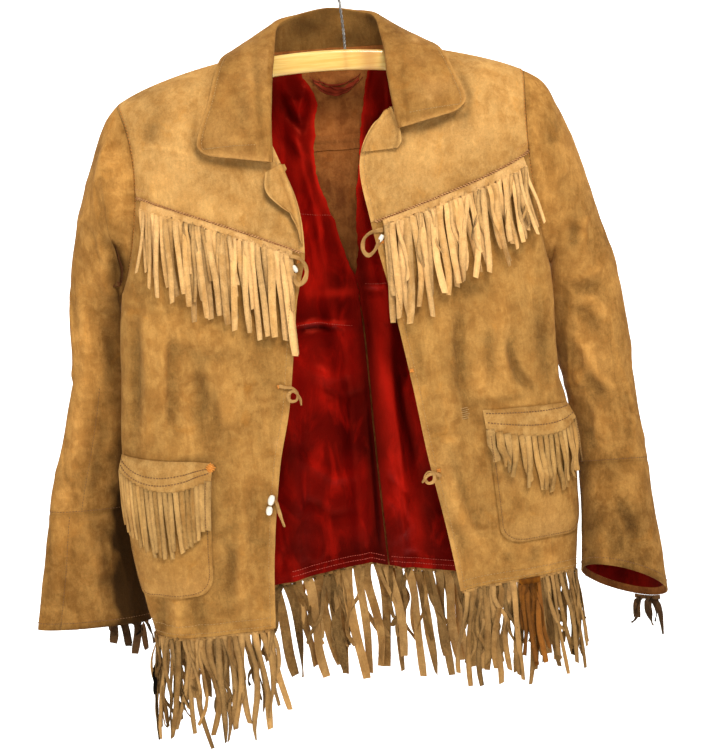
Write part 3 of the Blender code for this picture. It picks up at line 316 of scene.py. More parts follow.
def bezier(p0, p1, p2, p3, t):
    t = t[..., None]
    return (1 - t) ** 3 * p0 + 3 * (1 - t) ** 2 * t * p1 + 3 * (1 - t) * t * t * p2 + t ** 3 * p3


def swept(start, pull, corner_x, corner_y, end, lift, t, table, way):
    """Rows of a panel, each a curve from its start round a corner to its end, with the soft folds."""
    corner = np.stack([corner_x, corner_y, start[..., 2] + (end[..., 2] - start[..., 2]) * 0.85], -1)
    pull = corner if pull is None else np.stack([corner_x, pull, corner[..., 2]], -1)
    point = bezier(start, start + (pull - start) * 0.42, corner, end, t)
    point[..., 2] += lift * 4 * t * (1 - t)
    point[..., 1] += way * folds(table, point[..., 0], point[..., 2]) * (1 - t ** 6)
    return point


def front_skin(side, t, down):
    """Outside of a front: t runs from the opening (0) to the armhole or side seam (1)."""
    t, down = grids(t, down)
    *edge, turn_x, turn_y, lift = np.moveaxis(
        read(FRONT[side], "edge_x edge_y edge_z turn_x turn_y lift", down), -1, 0)
    return swept(np.stack(edge, -1), None, turn_x, turn_y, outer_point(side, FRONT[side], down), lift, t,
                 FOLDS[side], -1)


def neck_and_ridge(u):
    """The top of the back: the neck's curve between the fronts' corners, then the fronts' own tops."""
    t = np.clip((np.abs(u) - NECK_END) / (1 - NECK_END), 0, 1)
    ridge = np.where((u < 0)[..., None], *(front_skin(side, t, 0.0) for side in SIDES))
    a, b = (front_skin(side, 0.0, 0.0) for side in SIDES)
    neck = bezier(a, a + NECK_PULL, b + NECK_PULL, b, np.clip((u + NECK_END) / (2 * NECK_END), 0, 1))
    return np.where((np.abs(u) >= NECK_END)[..., None], ridge, neck)


def back_skin(u, down):
    """Outside of the back: u runs from the right side (-1) to the left side (1)."""
    u, down = grids(u, down)
    points = []
    for side in SIDES:
        *spine, corner_x, corner_y, lift = np.moveaxis(
            read(BACK, f"spine_x spine_y spine_z {side}_x corner_y lift_{side}", down), -1, 0)
        points.append(swept(np.stack(spine, -1), spine[1], corner_x, corner_y, outer_point(side, BACK, down),
                            lift, np.abs(u), FOLDS["back"], 1))
    blend = np.clip(1 - down / 30.0, 0, 1)[..., None]
    return np.where((u < 0)[..., None], *points) * (1 - blend) + neck_and_ridge(u) * blend


def front_normal(side, t, down):
    t, down = grids(t, down)
    across = front_skin(side, np.minimum(t + 0.01, 1), down) - front_skin(side, np.maximum(t - 0.01, 0), down)
    along = front_skin(side, t, np.minimum(down + 2, HEM)) - front_skin(side, t, np.maximum(down - 2, 0))
    return unit(np.cross(along, across)) * OUTWARD[side]


def back_line(u, down):
    """The back's skin, and its outward normal."""
    u, down = grids(u, down)
    across = back_skin(np.minimum(u + 0.01, 1), down) - back_skin(np.maximum(u - 0.01, -1), down)
    along = back_skin(u, np.minimum(down + 3, HEM)) - back_skin(u, np.maximum(down - 3, 0))
    return back_skin(u, down), unit(np.cross(across, along))


def front_place(side, x, z):
    """The share and depth of a front at places seen from the front."""
    x, z = grids(x, z)
    t, down = np.full(x.shape, 0.5), np.full(x.shape, 300.0)
    for _ in range(16):
        here = front_skin(side, t, down)
        d_t = (front_skin(side, t + 0.01, down) - here) / 0.01
        d_down = front_skin(side, t, down + 1.0) - here
        miss_x, miss_z = x - here[..., 0], z - here[..., 2]
        det = d_t[..., 0] * d_down[..., 2] - d_down[..., 0] * d_t[..., 2]
        det = np.where(np.abs(det) < 1e-3, 1e-3, det)
        step_t = (miss_x * d_down[..., 2] - d_down[..., 0] * miss_z) / det
        step_down = (d_t[..., 0] * miss_z - miss_x * d_t[..., 2]) / det
        t = np.clip(t + np.clip(step_t, -0.15, 0.15), 0, 0.86)
        down = np.clip(down + np.clip(step_down, -80, 80), 0, HEM - 1)
    return t, down


def over_front(side, t, down, height):
    """Points over a front as it is shown, folds and creases included, raised above it."""
    skin = front_skin(side, t, down)
    return skin + front_normal(side, t, down) * (height + front_relief(side, skin, t, down))[..., None]


def front_at(side, x, z, height):
    return over_front(side, *front_place(side, x, z), height)


def back_at(x, down):
    """The back's skin at sideways places and depths, and its outward normal."""
    x, down = grids(x, down)
    low, high = np.full(x.shape, -1.0), np.full(x.shape, 1.0)
    for _ in range(22):
        u = (low + high) / 2
        left = back_skin(u, down)[..., 0] < x
        low, high = np.where(left, u, low), np.where(left, high, u)
    return back_line(u, down)


def arm_ring(row, angle):
    out, inner, deep = np.asarray(row, float).reshape(3, 3)
    a = np.radians(angle)[..., None]
    return (out + inner) / 2 + (out - inner) / 2 * np.cos(a) + deep * np.sin(a)


def arm_skin(side, place, angle):
    """Outside of a sleeve: place 0 is the armhole, 1 and on are the rings of its tables."""
    place, angle = grids(place, angle)
    table = SLEEVE[side] + CUFF[side]
    first = armhole(side, angle) + np.array([OUTWARD[side] * SEAM, 0, 0])
    rings = np.stack([first] + [arm_ring(row, angle) for row in table])
    k = np.clip(np.floor(place).astype(int), 0, len(table) - 1)
    grid = tuple(np.indices(place.shape))

    def ring(n):
        return rings[(np.clip(n, 0, len(table)),) + grid]

    slopes = ((ring(k + 1) - ring(k - 1)) / np.where(k > 0, 2, 1)[..., None],
              (ring(k + 2) - ring(k)) / np.where(k + 1 < len(table), 2, 1)[..., None])
    return hermite(ring(k), ring(k + 1), *slopes, (place - k)[..., None])


# ---------------------------------------------------------------- relief

def noise(points, scale, seed=0):
    """Smooth value noise from -1 to 1 at points in millimetres."""
    place = np.asarray(points, float) / scale + seed * 17.13
    cell = np.floor(place).astype(np.int64)
    part = step_up(place - cell)
    total = np.zeros(place.shape[:-1])
    for corner in range(8):
        bits = np.array([corner & 1, corner >> 1 & 1, corner >> 2 & 1])
        x, y, z = np.moveaxis(cell + bits, -1, 0)
        mixed = (x * 374761393 + y * 668265263 + z * 1440662683 + seed * 974634777) & 0xFFFFFFFF
        mixed = ((mixed ^ (mixed >> 13)) * 1274126177) & 0xFFFFFFFF
        mixed = (mixed ^ (mixed >> 16)) & 0xFFFF
        total += np.prod(np.where(bits == 1, part, 1 - part), axis=-1) * (mixed / 32767.5 - 1)
    return total


def noise_at(x, y, scale, seed):
    """The same noise at places of two numbers."""
    return noise(np.stack(grids(x, y, 0.0), -1), scale, seed)


def creases(table, x, z):
    """Height of a table of creases at places x, z; each fades in over a third of its way."""
    height, here = np.zeros(x.shape), np.stack([x, z], -1)
    for width, high, path in table:
        runs = np.linalg.norm(np.diff(path, axis=0), axis=1)
        starts = np.concatenate([[0], np.cumsum(runs)])
        near, along = np.full(x.shape, 1e9), np.zeros(x.shape)
        for a, b, run, start in zip(path, path[1:], runs, starts):
            way = (b - a) / run
            s = np.clip((here - a) @ way, 0, run)
            away = np.linalg.norm(here - a - s[..., None] * way, axis=-1)
            along = np.where(away < near, start + s, along)
            near = np.minimum(near, away)
        fade = step_up(np.minimum(along, starts[-1] - along) / (starts[-1] / 3))
        height += high * bell(near, width) * (0.15 + 0.85 * fade)
    return height


FRONT_WIDE = 185.0     # about the length of a front's row, for seams told in shares
BACK_HALF = 230.0      # and of half a row of the back
BOOST, BACK_BOOST, LINING_BOOST = 1.75, 1.3, 1.6       # how much deeper than told creases are shown
HEM_STITCH = 13.0      # the hem's stitches are this far above it


def wrinkles(skin, scale, seed):
    """Thin long dips and ridges that come and go, mostly up and down the cloth."""
    flow = noise(skin * np.array([1.0, 1.0, 0.36]), scale, seed)
    where = step_up((noise(skin, scale * 2.2, seed + 50) + 0.15) / 0.5)
    return (bell(flow - 0.12, 0.13) - bell(flow + 0.10, 0.10)) * where


def front_relief(side, skin, t, down):
    """Creases, the rolled edge of the opening, and the dip along the seams, over the soft form."""
    from_edge, from_side = t * FRONT_WIDE, (1 - t) * FRONT_WIDE
    height = BOOST * creases(FRONT_CREASES[side], skin[..., 0], skin[..., 2])
    height = height + noise(skin, 38.0, 3) * 0.9 + noise(skin, 13.0, 4) * 0.3
    height = height + wrinkles(skin, 24.0, 2) * 0.9 * step_up((down - YOKE_SEAM + 60) / 90)
    height = height * step_up((1 - t) / 0.06)
    height = height + 0.7 * bell(from_edge - 3.0, 3.0) - 0.5 * bell(from_edge - 9.0, 2.5)
    height = height - 1.1 * bell(from_side, 3.0) - 0.8 * bell(down - YOKE_SEAM, 2.6)
    return (height - 0.4 * bell(HEM - HEM_STITCH - down, 1.8)) * step_up(down / 8.0)


def back_relief(skin, u, down):
    height = BACK_BOOST * creases(BACK_CREASES, skin[..., 0], skin[..., 2])
    height = height + noise(skin, 44, 21) * 1.1 + noise(skin, 14, 22) * 0.3 + wrinkles(skin, 30.0, 20) * 0.8
    height = height * step_up((1 - np.abs(u)) / 0.05) - 1.0 * bell((1 - np.abs(u)) * BACK_HALF, 3.0)
    height = height - 0.8 * bell(down - BACK_SEAM, 2.6) - 0.4 * bell(HEM - HEM_STITCH - down, 1.8)
    return height * step_up(down / 10.0)


def arm_relief(side, skin, place, angle):
    """Creases of a sleeve's front, the folds at the back of its elbow, and its seams."""
    x, z = skin[..., 0], skin[..., 2]
    facing = np.sin(np.radians(angle))
    height = (BOOST * creases(ARM_CREASES[side], x, z) * step_up((facing + 0.15) / 0.6)
              + creases(ELBOW_CREASES[side], x, z) * step_up((-facing - 0.05) / 0.6))
    height = height + wrinkles(skin, 20.0, 30) * 0.9
    height = height + noise(skin, 30.0, 31) * 1.2 + noise(skin, 11.0, 32) * 0.35
    height = height * (0.25 + 0.75 * step_up(place / 1.2)) - 0.9 * bell(place, 0.14)
    height -= 0.5 * bell(place - CUFF_SEAM[side], 0.05)
    for seam_angle, low, high in ARM_SEAMS[side]:
        height -= 0.8 * bell((angle - seam_angle + 180) % 360 - 180, 2.6) * ((place > low) & (place < high))
    return height


# Darker places (amount above 0) and paler ones (below 0), seen from the front: soil and rubbed wear, and on some
# tables painted shade and painted highlight.
Spot = namedtuple("Spot", "x z wide tall amount")


def spots(table, skin, ragged=None):
    """How much a table of spots darkens a skin, and how much it makes it paler."""
    stain = pale = np.zeros(skin.shape[:-1])
    for spot in table:
        reach = ((skin[..., 0] - spot.x) / spot.wide) ** 2 + ((skin[..., 2] - spot.z) / spot.tall) ** 2
        if ragged:
            reach = reach * (1 + 0.5 * noise(skin, *ragged(spot)))
        if spot.amount > 0:
            stain = stain + spot.amount * np.exp(-reach)
        else:
            pale = pale - spot.amount * np.exp(-reach)
    return stain, pale


# ---------------------------------------------------------------- meshes

def mesh_piece(name, verts, faces, looks, kinds=None, **fields):
    """A mesh object from points in millimetres; fields are numbers held at its points."""
    mesh = bpy.data.meshes.new(name)
    mesh.from_pydata((np.asarray(verts, float) * MM).tolist(), [], faces)
    for look in looks:
        mesh.materials.append(look)
    if kinds is not None:
        mesh.polygons.foreach_set("material_index", kinds)
    for field in ("shade", "stain", "pale"):
        layer = mesh.attributes.new(field, "FLOAT", "POINT")
        if field in fields:
            values = np.asarray(fields[field], np.float32).ravel()
            layer.data.foreach_set("value", values if field == "shade" else np.clip(values, 0, 1))
    mesh.polygons.foreach_set("use_smooth", [True] * len(mesh.polygons))
    mesh.set_sharp_from_angle(angle=math.radians(48))
    mesh.update()
    piece = bpy.data.objects.new(name, mesh)
    bpy.context.scene.collection.objects.link(piece)
    return piece


def dress(piece, slot, *nodes):
    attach(piece, "root")
    if nodes:
        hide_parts(*nodes)


def grid_faces(down, across, wrap, start, turned):
    """Quads of a grid of points, as a list; turned swaps which way they face."""
    i, j = np.meshgrid(np.arange(down - 1), np.arange(across - (not wrap)), indexing="ij")
    k = (j + 1) % across
    quads = np.stack([i * across + j, (i + 1) * across + j, (i + 1) * across + k, i * across + k], -1)
    return (quads.reshape(-1, 4)[:, ::-1 if turned else 1] + start).tolist()


def ring_of(down, across, wrap):
    """The points round the rim of a grid: one loop, or two where the grid is a tube."""
    top, low = list(range(across)), [(down - 1) * across + j for j in range(across)]
    if wrap:
        return [top, low]
    far = [i * across + across - 1 for i in range(1, down - 1)]
    return [top + far + low[::-1] + [i * across for i in range(down - 2, 0, -1)]]


def shell(name, slot, nodes, outer, inward, thick, looks, wrap=False, **fields):
    """A closed cloth wall: its seen side, its inner side, and rounded cut edges between."""
    size, count = outer.shape[:2], outer.shape[0] * outer.shape[1]
    i, j = size[0] // 2, size[1] // 2
    turned = float(np.cross(outer[i + 1, j] - outer[i, j], outer[i, j + 1] - outer[i, j]) @ inward[i, j]) > 0
    flat = np.stack([outer, outer + inward * thick]).reshape(2, count, 3)
    faces = grid_faces(*size, wrap, 0, turned) + grid_faces(*size, wrap, count, not turned)
    kinds = [0] * (len(faces) // 2) + [len(looks) - 1] * (len(faces) // 2)
    verts, picked, start = list(flat), [np.arange(count)] * 2, 2 * count
    for n, loop in enumerate(ring_of(*size, wrap)):
        verts.append((flat[0, loop] + flat[1, loop]) / 2)
        picked.append(loop)
        for k, (a, b) in enumerate(zip(loop, loop[1:] + loop[:1])):
            p, q = start + k, start + (k + 1) % len(loop)
            pair = [a, b, q, p], [p, q, count + b, count + a]
            faces += [face[::-1] for face in pair] if turned ^ (n == 1) else pair
        start += len(loop)
    kinds += [0] * (len(faces) - len(kinds))
    picked = np.concatenate(picked)
    held = {field: np.broadcast_to(values, size).reshape(-1)[picked] for field, values in fields.items()}
    dress(mesh_piece(name, np.concatenate(verts), faces, looks, kinds, **held), slot, *nodes)


def inward_of(grid, sign, wrap=False):
    """Unit vectors into the wall at each point of a grid of skin points."""
    across = np.roll(grid, -1, axis=1) - np.roll(grid, 1, axis=1) if wrap else np.gradient(grid, axis=1)
    return unit(np.cross(np.gradient(grid, axis=0), across)) * sign


def spread(*stops, step):
    """Places from stop to stop, no further than a step apart, the stops among them."""
    places = [np.array(stops[:1], float)]
    for a, b in zip(stops, stops[1:]):
        places.append(np.linspace(a, b, max(2, int(math.ceil(abs(b - a) / step)) + 1))[1:])
    return np.concatenate(places)


def loft(count, sides):
    """Faces of the wall of a tube of rings."""
    return [(i * sides + k, i * sides + (k + 1) % sides, (i + 1) * sides + (k + 1) % sides, (i + 1) * sides + k)
            for i in range(count - 1) for k in range(sides)]


def capped(count, sides):
    """The same with its flat ends."""
    ends = [tuple(range(sides - 1, -1, -1)), tuple((count - 1) * sides + k for k in range(sides))]
    return loft(count, sides) + ends


def flipped(faces, needed):
    return [face[::-1] for face in faces] if needed else faces


class Cloth:
    """Gathers the points and faces of many narrow pieces into one mesh."""

    def __init__(self):
        self.verts, self.faces, self.fields = [], [], {"shade": [], "stain": [], "pale": []}

    def add(self, verts, faces, **fields):
        start = len(self.verts)
        self.verts += [tuple(v) for v in verts]
        self.faces += [[start + k for k in face] for face in faces]
        for name, held in self.fields.items():
            held += list(np.broadcast_to(np.asarray(fields.get(name, 0.0), float), (len(verts),)))

    def piece(self, name, look):
        return mesh_piece(name, self.verts, self.faces, [look], **self.fields)


# ---------------------------------------------------------------- materials

class Paint:
    """A procedural finish: colours, textures and bump of one Principled shader."""

    def __init__(self, name, **sockets):
        self.look = bpy.data.materials.new(name)
        self.look.use_nodes = True
        self.tree = self.look.node_tree
        self.shader = self.tree.nodes["Principled BSDF"]
        for socket, value in sockets.items():
            self.shader.inputs[socket.replace("_", " ")].default_value = value
        self.place = self.node("TexCoord", {}, "Object")

    def node(self, kind, inputs, output, **settings):
        """The output of a new node, each of its inputs linked to a socket or set to a value."""
        node = self.tree.nodes.new("ShaderNode" + kind)
        for name, value in settings.items():
            setattr(node, name, value)
        for slot, value in inputs.items():
            if isinstance(value, bpy.types.NodeSocket):
                self.tree.links.new(value, node.inputs[slot])
            else:
                node.inputs[slot].default_value = value
        return node.outputs[output]

    def field(self, name):
        return self.node("Attribute", {}, "Fac", attribute_name=name)

    def noise(self, mm, detail=3.0, rough=0.5, warp=0.0, stretch=None):
        place = self.place
        if stretch:
            place = self.node("Mapping", {"Scale": stretch, "Vector": place}, "Vector")
        return self.node("TexNoise", {"Scale": 1000.0 / mm, "Detail": detail, "Roughness": rough,
                                      "Distortion": warp, "Vector": place}, "Fac")

    def math(self, kind, a, b, c=0.0):
        return self.node("Math", {0: a, 1: b, 2: c}, 0, operation=kind)

    def ranged(self, value, low, high, to_low=0.0, to_high=1.0):
        return self.node("MapRange", {"Value": value, "From Min": low, "From Max": high, "To Min": to_low,
                                      "To Max": to_high}, "Result", interpolation_type="SMOOTHSTEP")

    def mix(self, share, a, b, amount=None):
        """From a to b by a share, or by some amount of it."""
        if amount is not None:
            share = self.math("MULTIPLY", share, amount)
        a, b = ((*colour, 1.0) if isinstance(colour, tuple) else colour for colour in (a, b))
        return self.node("Mix", {0: share, 6: a, 7: b}, 2, data_type="RGBA")

    def toned(self, colour, shade, *textures):
        """The colour, lighter and darker by the shade field and by textures, each with its amount."""
        tone = self.math("MULTIPLY_ADD", self.field("shade"), shade, 1.0)
        for texture, amount in textures:
            tone = self.math("MULTIPLY_ADD", self.math("SUBTRACT", texture, 0.5), amount, tone)
        return self.colour(self.node("VectorMath", {0: colour, "Scale": tone}, 0, operation="SCALE"))

    def bump(self, height, mm, strength):
        last = self.shader.inputs["Normal"]
        held = {"Distance": mm * MM, "Strength": strength, "Height": height}
        if last.links:
            held["Normal"] = last.links[0].from_socket
            self.tree.links.remove(last.links[0])
        self.tree.links.new(self.node("Bump", held, "Normal"), last)

    def colour(self, socket):
        self.tree.links.new(socket, self.shader.inputs["Base Color"])
        return self.look


def suede(name, light, mid, dark, blotch=0.5, nap=1.0):
    """Brushed buckskin: blotches of three tones, a short nap, and wear, soil and painted shade told by the
    fields.
    """
    paint = Paint(name, Roughness=0.96, Sheen_Weight=0.05, Sheen_Roughness=0.6,
                  Sheen_Tint=(1.0, 0.70, 0.40, 1.0), Specular_IOR_Level=0.06)
    broad = paint.ranged(paint.noise(46, 4, 0.62, 0.6), 0.5 - blotch / 2, 0.5 + blotch / 2)
    cloud = paint.ranged(paint.noise(15, 5, 0.6, 0.4), 0.38, 0.64)
    streak = paint.ranged(paint.noise(9, 4, 0.6, 0.3, (1.0, 1.0, 0.22)), 0.46, 0.70)
    rub = paint.ranged(paint.noise(6, 4, 0.62, 0.5, (1.0, 1.0, 0.30)), 0.54, 0.74)
    speck = paint.ranged(paint.noise(1.6, 2, 0.5), 0.64, 0.74)
    tan = paint.ranged(paint.noise(24, 3, 0.55, 0.9), 0.58, 0.76)
    grain = paint.noise(1.2, 3, 0.7)
    pile = paint.noise(3.2, 4, 0.68, 0.8)
    brushed = paint.noise(2.4, 3, 0.6, 0.4, (1.0, 1.0, 0.30))
    worn, soil_and_shade_colour = tuple(min(1.0, c * 1.30 + 0.02) for c in light), tuple(c * 0.16 for c in dark)
    colour = paint.mix(broad, dark, mid)
    for share, other, amount in (
            (cloud, light, 0.60), (streak, dark, 0.44), (rub, light, 0.40), (speck, dark, 0.28),
            (tan, (mid[0] * 1.02, mid[1] * 0.82, mid[2] * 0.45), 0.30), (paint.field("pale"), worn, 0.75),
            (paint.field("stain"), soil_and_shade_colour, None)):
        colour = paint.mix(share, colour, other, amount)
    paint.bump(paint.noise(7.5, 4, 0.6, 0.5), 1.3, 0.6)
    paint.bump(pile, 0.55 * nap, 0.75)
    paint.bump(grain, 0.25 * nap, 0.8)
    return paint.toned(colour, 0.52, (grain, 0.42), (pile, 0.62), (brushed, 0.36))


def satin(name, light, mid, dark):
    """Lining satin: fine crosswise threads, small puckers, a soft red shine."""
    paint = Paint(name, Roughness=0.40, Specular_IOR_Level=0.50, Specular_Tint=(1.0, 0.05, 0.02, 1.0),
                  Anisotropic=0.35)
    colour = paint.mix(paint.ranged(paint.noise(70, 3, 0.5, 0.5), 0.34, 0.66), dark, mid)
    patch = paint.ranged(paint.noise(22, 4, 0.55, 0.7, (1.0, 1.0, 0.4)), 0.44, 0.70)
    colour = paint.mix(patch, colour, light, 0.60)
    # The pale field paints highlight on the satin, and the next field darkens it with stains and painted shade.
    colour = paint.mix(paint.field("pale"), colour, (light[0] * 1.7, light[1] * 2.4, light[2] * 2.4), 0.85)
    colour = paint.mix(paint.field("stain"), colour, tuple(c * 0.22 for c in dark))
    threads = paint.noise(0.8, 2, 0.5, 0.0, (1.0, 1.0, 3.2))
    paint.bump(paint.noise(11, 3, 0.5, 0.6), 1.2, 0.5)
    paint.bump(threads, 0.08, 0.7)
    return paint.toned(colour, 0.62, (threads, 0.30))


def thread_look(name, light, dark):
    """Twisted sewing thread: two tones wound round it."""
    paint = Paint(name, Roughness=0.7, Specular_IOR_Level=0.2)
    colour = paint.mix(paint.ranged(paint.noise(0.7, 2, 0.5, 0.5), 0.40, 0.62), dark, light)
    colour = paint.mix(paint.ranged(paint.noise(13, 3, 0.6), 0.46, 0.66), colour, dark, 0.6)
    paint.bump(paint.noise(0.5, 2, 0.5), 0.10, 0.7)
    return paint.colour(colour)


def bead_look():
    paint = Paint("bead", Roughness=0.32, Specular_IOR_Level=0.5, Coat_Weight=0.25, Coat_Roughness=0.15)
    vein = paint.ranged(paint.noise(2.4, 4, 0.6, 1.2), 0.40, 0.70)
    colour = paint.mix(vein, (0.80, 0.74, 0.60), (0.93, 0.90, 0.82))
    colour = paint.mix(paint.ranged(paint.noise(0.7, 2, 0.5), 0.66, 0.74), colour, (0.42, 0.28, 0.14), 0.5)
    paint.bump(paint.noise(1.2, 3, 0.5), 0.12, 0.6)
    return paint.colour(colour)


def wood_look():
    paint = Paint("wood", Roughness=0.28, Coat_Weight=0.55, Coat_Roughness=0.12, Specular_IOR_Level=0.5)
    grain = paint.ranged(paint.noise(4.0, 5, 0.62, 0.5, (0.06, 1.0, 1.6)), 0.36, 0.66)
    fine = paint.noise(0.7, 3, 0.6, 0.0, (0.03, 1.0, 1.0))
    blotch = paint.ranged(paint.noise(38, 3, 0.5, 0.4), 0.50, 0.72)
    colour = paint.mix(grain, (0.72, 0.42, 0.085), (0.82, 0.56, 0.160))
    colour = paint.mix(paint.ranged(fine, 0.55, 0.75, 0.0, 0.35), colour, (0.52, 0.27, 0.06))
    colour = paint.mix(blotch, colour, (0.70, 0.34, 0.07), 0.30)
    colour = paint.mix(paint.field("stain"), colour, (0.42, 0.14, 0.03), 0.6)
    paint.bump(fine, 0.10, 0.5)
    return paint.colour(colour)


def wire_look():
    paint = Paint("wire", Metallic=1.0, Roughness=0.42)
    rub = paint.ranged(paint.noise(6, 4, 0.6, 0.4), 0.35, 0.70)
    rust = paint.ranged(paint.noise(3.1, 4, 0.65), 0.60, 0.74)
    colour = paint.mix(rust, paint.mix(rub, (0.16, 0.145, 0.13), (0.42, 0.40, 0.37)), (0.23, 0.10, 0.045), 0.5)
    paint.bump(paint.noise(0.5, 2, 0.5, 0.0, (1.0, 1.0, 0.1)), 0.05, 0.6)
    return paint.colour(colour)


def stage_look(name, colour, glow):
    paint = Paint(name, Roughness=0.9, Specular_IOR_Level=0.1)
    paint.shader.inputs["Emission Color"].default_value = (*colour, 1.0)
    paint.shader.inputs["Emission Strength"].default_value = glow
    return paint.colour(paint.mix(paint.noise(420, 2, 0.5), tuple(c * 0.985 for c in colour), colour))


# ---------------------------------------------------------------- creases

FRONT_CREASES = {
    RIGHT: lines(
        (2.2, 0.7, -218, -174, -201, -177, -177, -182, -154, -191), (9, -1.4, -198, -149, -203, -177),
        (9, 2.2, -220, -330, -227, -432, -237, -493), (7, -2.0, -231, -329, -241, -451, -250, -487),
        (6, 1.6, -206, -341, -211, -433, -218, -474), (6, -1.8, -198, -362, -206, -475),
        (7, 2.0, -186, -409, -188, -487), (8, -2.4, -173, -397, -174, -436, -182, -477),
        (9, 1.8, -145, -409, -147, -469), (6, -1.2, -159, -416, -163, -478),
        (10, 1.6, -187, -332, -153, -381), (8, -1.3, -209, -371, -170, -395, -129, -390),
        (6, 1.8, -215, -632, -219, -686), (7, -2.2, -234, -631, -241, -689),
        (6, -2.0, -196, -639, -196, -688), (5, -1.4, -153, -579, -164, -663),
        (6, 1.4, -139, -543, -153, -670), (5, -1.0, -126, -513, -131, -607),
        (2.0, -0.5, -159, -594, -152, -606), (5, 1.0, -109, -420, -109, -493),
    ),
    LEFT: lines(
        (6, -2.6, 100, -355, 94, -395, 94, -437, 104, -479), (6, 1.9, 76, -435, 82, -482),
        (5, -3.6, 142, -389, 146, -418, 154, -438, 174, -461), (6, 2.4, 144, -358, 138, -409, 145, -446),
        (7, 2.0, 114, -417, 113, -464), (6, -1.6, 127, -377, 124, -449), (8, 1.8, 137, -368, 131, -439),
        (8, -1.6, 180, -351, 183, -423, 189, -465), (1.6, -0.7, 62, -491, 75, -491, 91, -492),
        (5, 1.2, 64, -497, 90, -498), (6, 1.8, 64, -506, 80, -568, 101, -610, 112, -627),
        (6, -1.6, 55, -532, 69, -581, 90, -625), (4, -1.2, 78, -503, 90, -561, 104, -600),
        (7, -1.8, 161, -615, 157, -639), (7, 1.6, 175, -623, 174, -642), (5, -1.2, 132, -620, 127, -634),
        (10, 1.4, 112, -295, 141, -319), (9, -1.5, 81, -315, 109, -345, 139, -348),
        (3.0, 0.5, 142, -197, 142, -229), (10, -1.2, 119, -160, 115, -190),
    ),
}
ARM_CREASES = {
    RIGHT: lines(
        (4, 1.6, -242, -163, -256, -190, -265, -216), (7, -1.2, -231, -148, -229, -198),
        (9, -2.6, -240, -261, -247, -291, -253, -322), (7, -2.4, -266, -255, -253, -283, -244, -320),
        (6, 2.0, -264, -290, -264, -314, -258, -335), (5, -1.8, -264, -316, -246, -322),
        (6, 2.2, -292, -327, -292, -379, -298, -426), (6, -1.8, -271, -349, -268, -391, -276, -433),
        (7, 1.6, -311, -430, -309, -472, -324, -514), (5, -1.4, -286, -432, -285, -474, -302, -526),
        (4, -1.2, -305, -537, -292, -514), (4, 1.2, -331, -524, -327, -548),
        (6, 1.5, -338, -577, -350, -652), (5, -1.2, -294, -570, -295, -645),
        (5, 1.2, -305, -601, -308, -666),
    ),
    LEFT: lines(
        (4, 1.6, 204, -239, 211, -235, 221, -232), (7, -1.6, 199, -207, 210, -194),
        (5, 2.0, 235, -278, 230, -311), (6, -1.8, 226, -285, 218, -321),
        (4, 1.8, 212, -341, 225, -346, 242, -340, 255, -331), (6, -2.0, 212, -353, 230, -360, 252, -352),
        (5, 2.0, 221, -359, 241, -371, 255, -391), (6, -2.2, 213, -372, 233, -387, 246, -411),
        (5, 1.8, 208, -398, 226, -417, 240, -450, 265, -467), (6, -1.8, 215, -421, 227, -450, 249, -477),
        (5, 1.6, 209, -459, 224, -443, 233, -423), (6, 1.8, 236, -473, 239, -516),
        (6, -1.4, 225, -494, 226, -536), (7, -1.6, 240, -559, 259, -595, 264, -625),
        (6, 1.4, 228, -601, 231, -655), (6, -1.2, 251, -624, 254, -679),
    ),
}
# Seen from the front, on the back's outside.
BACK_CREASES = lines(
    (9, 2.2, -150, -250, -110, -330, -60, -380), (8, -2.0, -170, -300, -120, -380, -70, -420),
    (9, 2.0, 120, -250, 80, -330, 30, -380), (8, -2.0, 140, -310, 90, -390, 40, -430),
    (10, 2.4, -200, -350, -205, -500, -190, -620), (9, -2.4, -180, -380, -182, -600),
    (9, 2.2, 150, -380, 158, -600), (7, -1.8, -60, -440, -66, -620), (7, 1.8, 30, -450, 34, -620),
    (12, 1.8, -140, -140, -60, -170, 20, -160), (8, -1.4, 90, -130, 120, -170),
    (8, -1.4, -120, -120, -160, -165),
)
# Seen from behind the sleeve: the folds at the back of each elbow.
ELBOW_CREASES = {
    RIGHT: lines(
        (6, 2.4, -270, -330, -285, -345, -300, -350), (6, -2.4, -262, -350, -285, -362, -304, -364),
        (7, 2.2, -262, -372, -285, -382, -306, -380), (7, -2.0, -258, -398, -284, -404, -308, -396),
        (8, 1.6, -262, -430, -290, -430),
    ),
    LEFT: lines(
        (6, 2.4, 208, -320, 230, -335, 255, -338), (6, -2.4, 206, -342, 232, -354, 258, -354),
        (7, 2.2, 206, -366, 232, -376, 262, -372), (7, -2.0, 206, -392, 236, -400, 266, -392),
        (8, 1.6, 212, -424, 250, -424),
    ),
}


# ---------------------------------------------------------------- finishes

SUEDE_BODY = suede("suede", (0.450, 0.237, 0.063), (0.365, 0.177, 0.042), (0.236, 0.103, 0.022))
SUEDE_YOKE = suede("suede_light", (0.581, 0.330, 0.106), (0.497, 0.260, 0.074), (0.364, 0.172, 0.042))
SUEDE_COLLAR = suede("suede_collar", (0.391, 0.200, 0.051), (0.321, 0.150, 0.035), (0.210, 0.086, 0.017))
SUEDE_ARM = suede("suede_dark", (0.529, 0.270, 0.070), (0.413, 0.194, 0.045), (0.243, 0.102, 0.020), 0.6)
SUEDE_FRINGE = suede("suede_fringe", (0.73, 0.435, 0.17), (0.61, 0.338, 0.112), (0.43, 0.212, 0.06), 0.5, 0.7)
SUEDE_BAND = suede("suede_band", (0.526, 0.304, 0.098), (0.428, 0.225, 0.065), (0.282, 0.131, 0.031), 0.5, 0.8)
SUEDE_HEM = suede("suede_hem", (0.518, 0.290, 0.095), (0.386, 0.197, 0.056), (0.196, 0.088, 0.024), 0.6, 0.8)
# Painted shade: a dark copy of the suede for the cuffs' fringes, which hang in the shade behind the cuffs.
SUEDE_SHADED = suede("suede_shaded", (0.230, 0.115, 0.045), (0.140, 0.064, 0.024), (0.070, 0.030, 0.012), 0.6, 0.8)
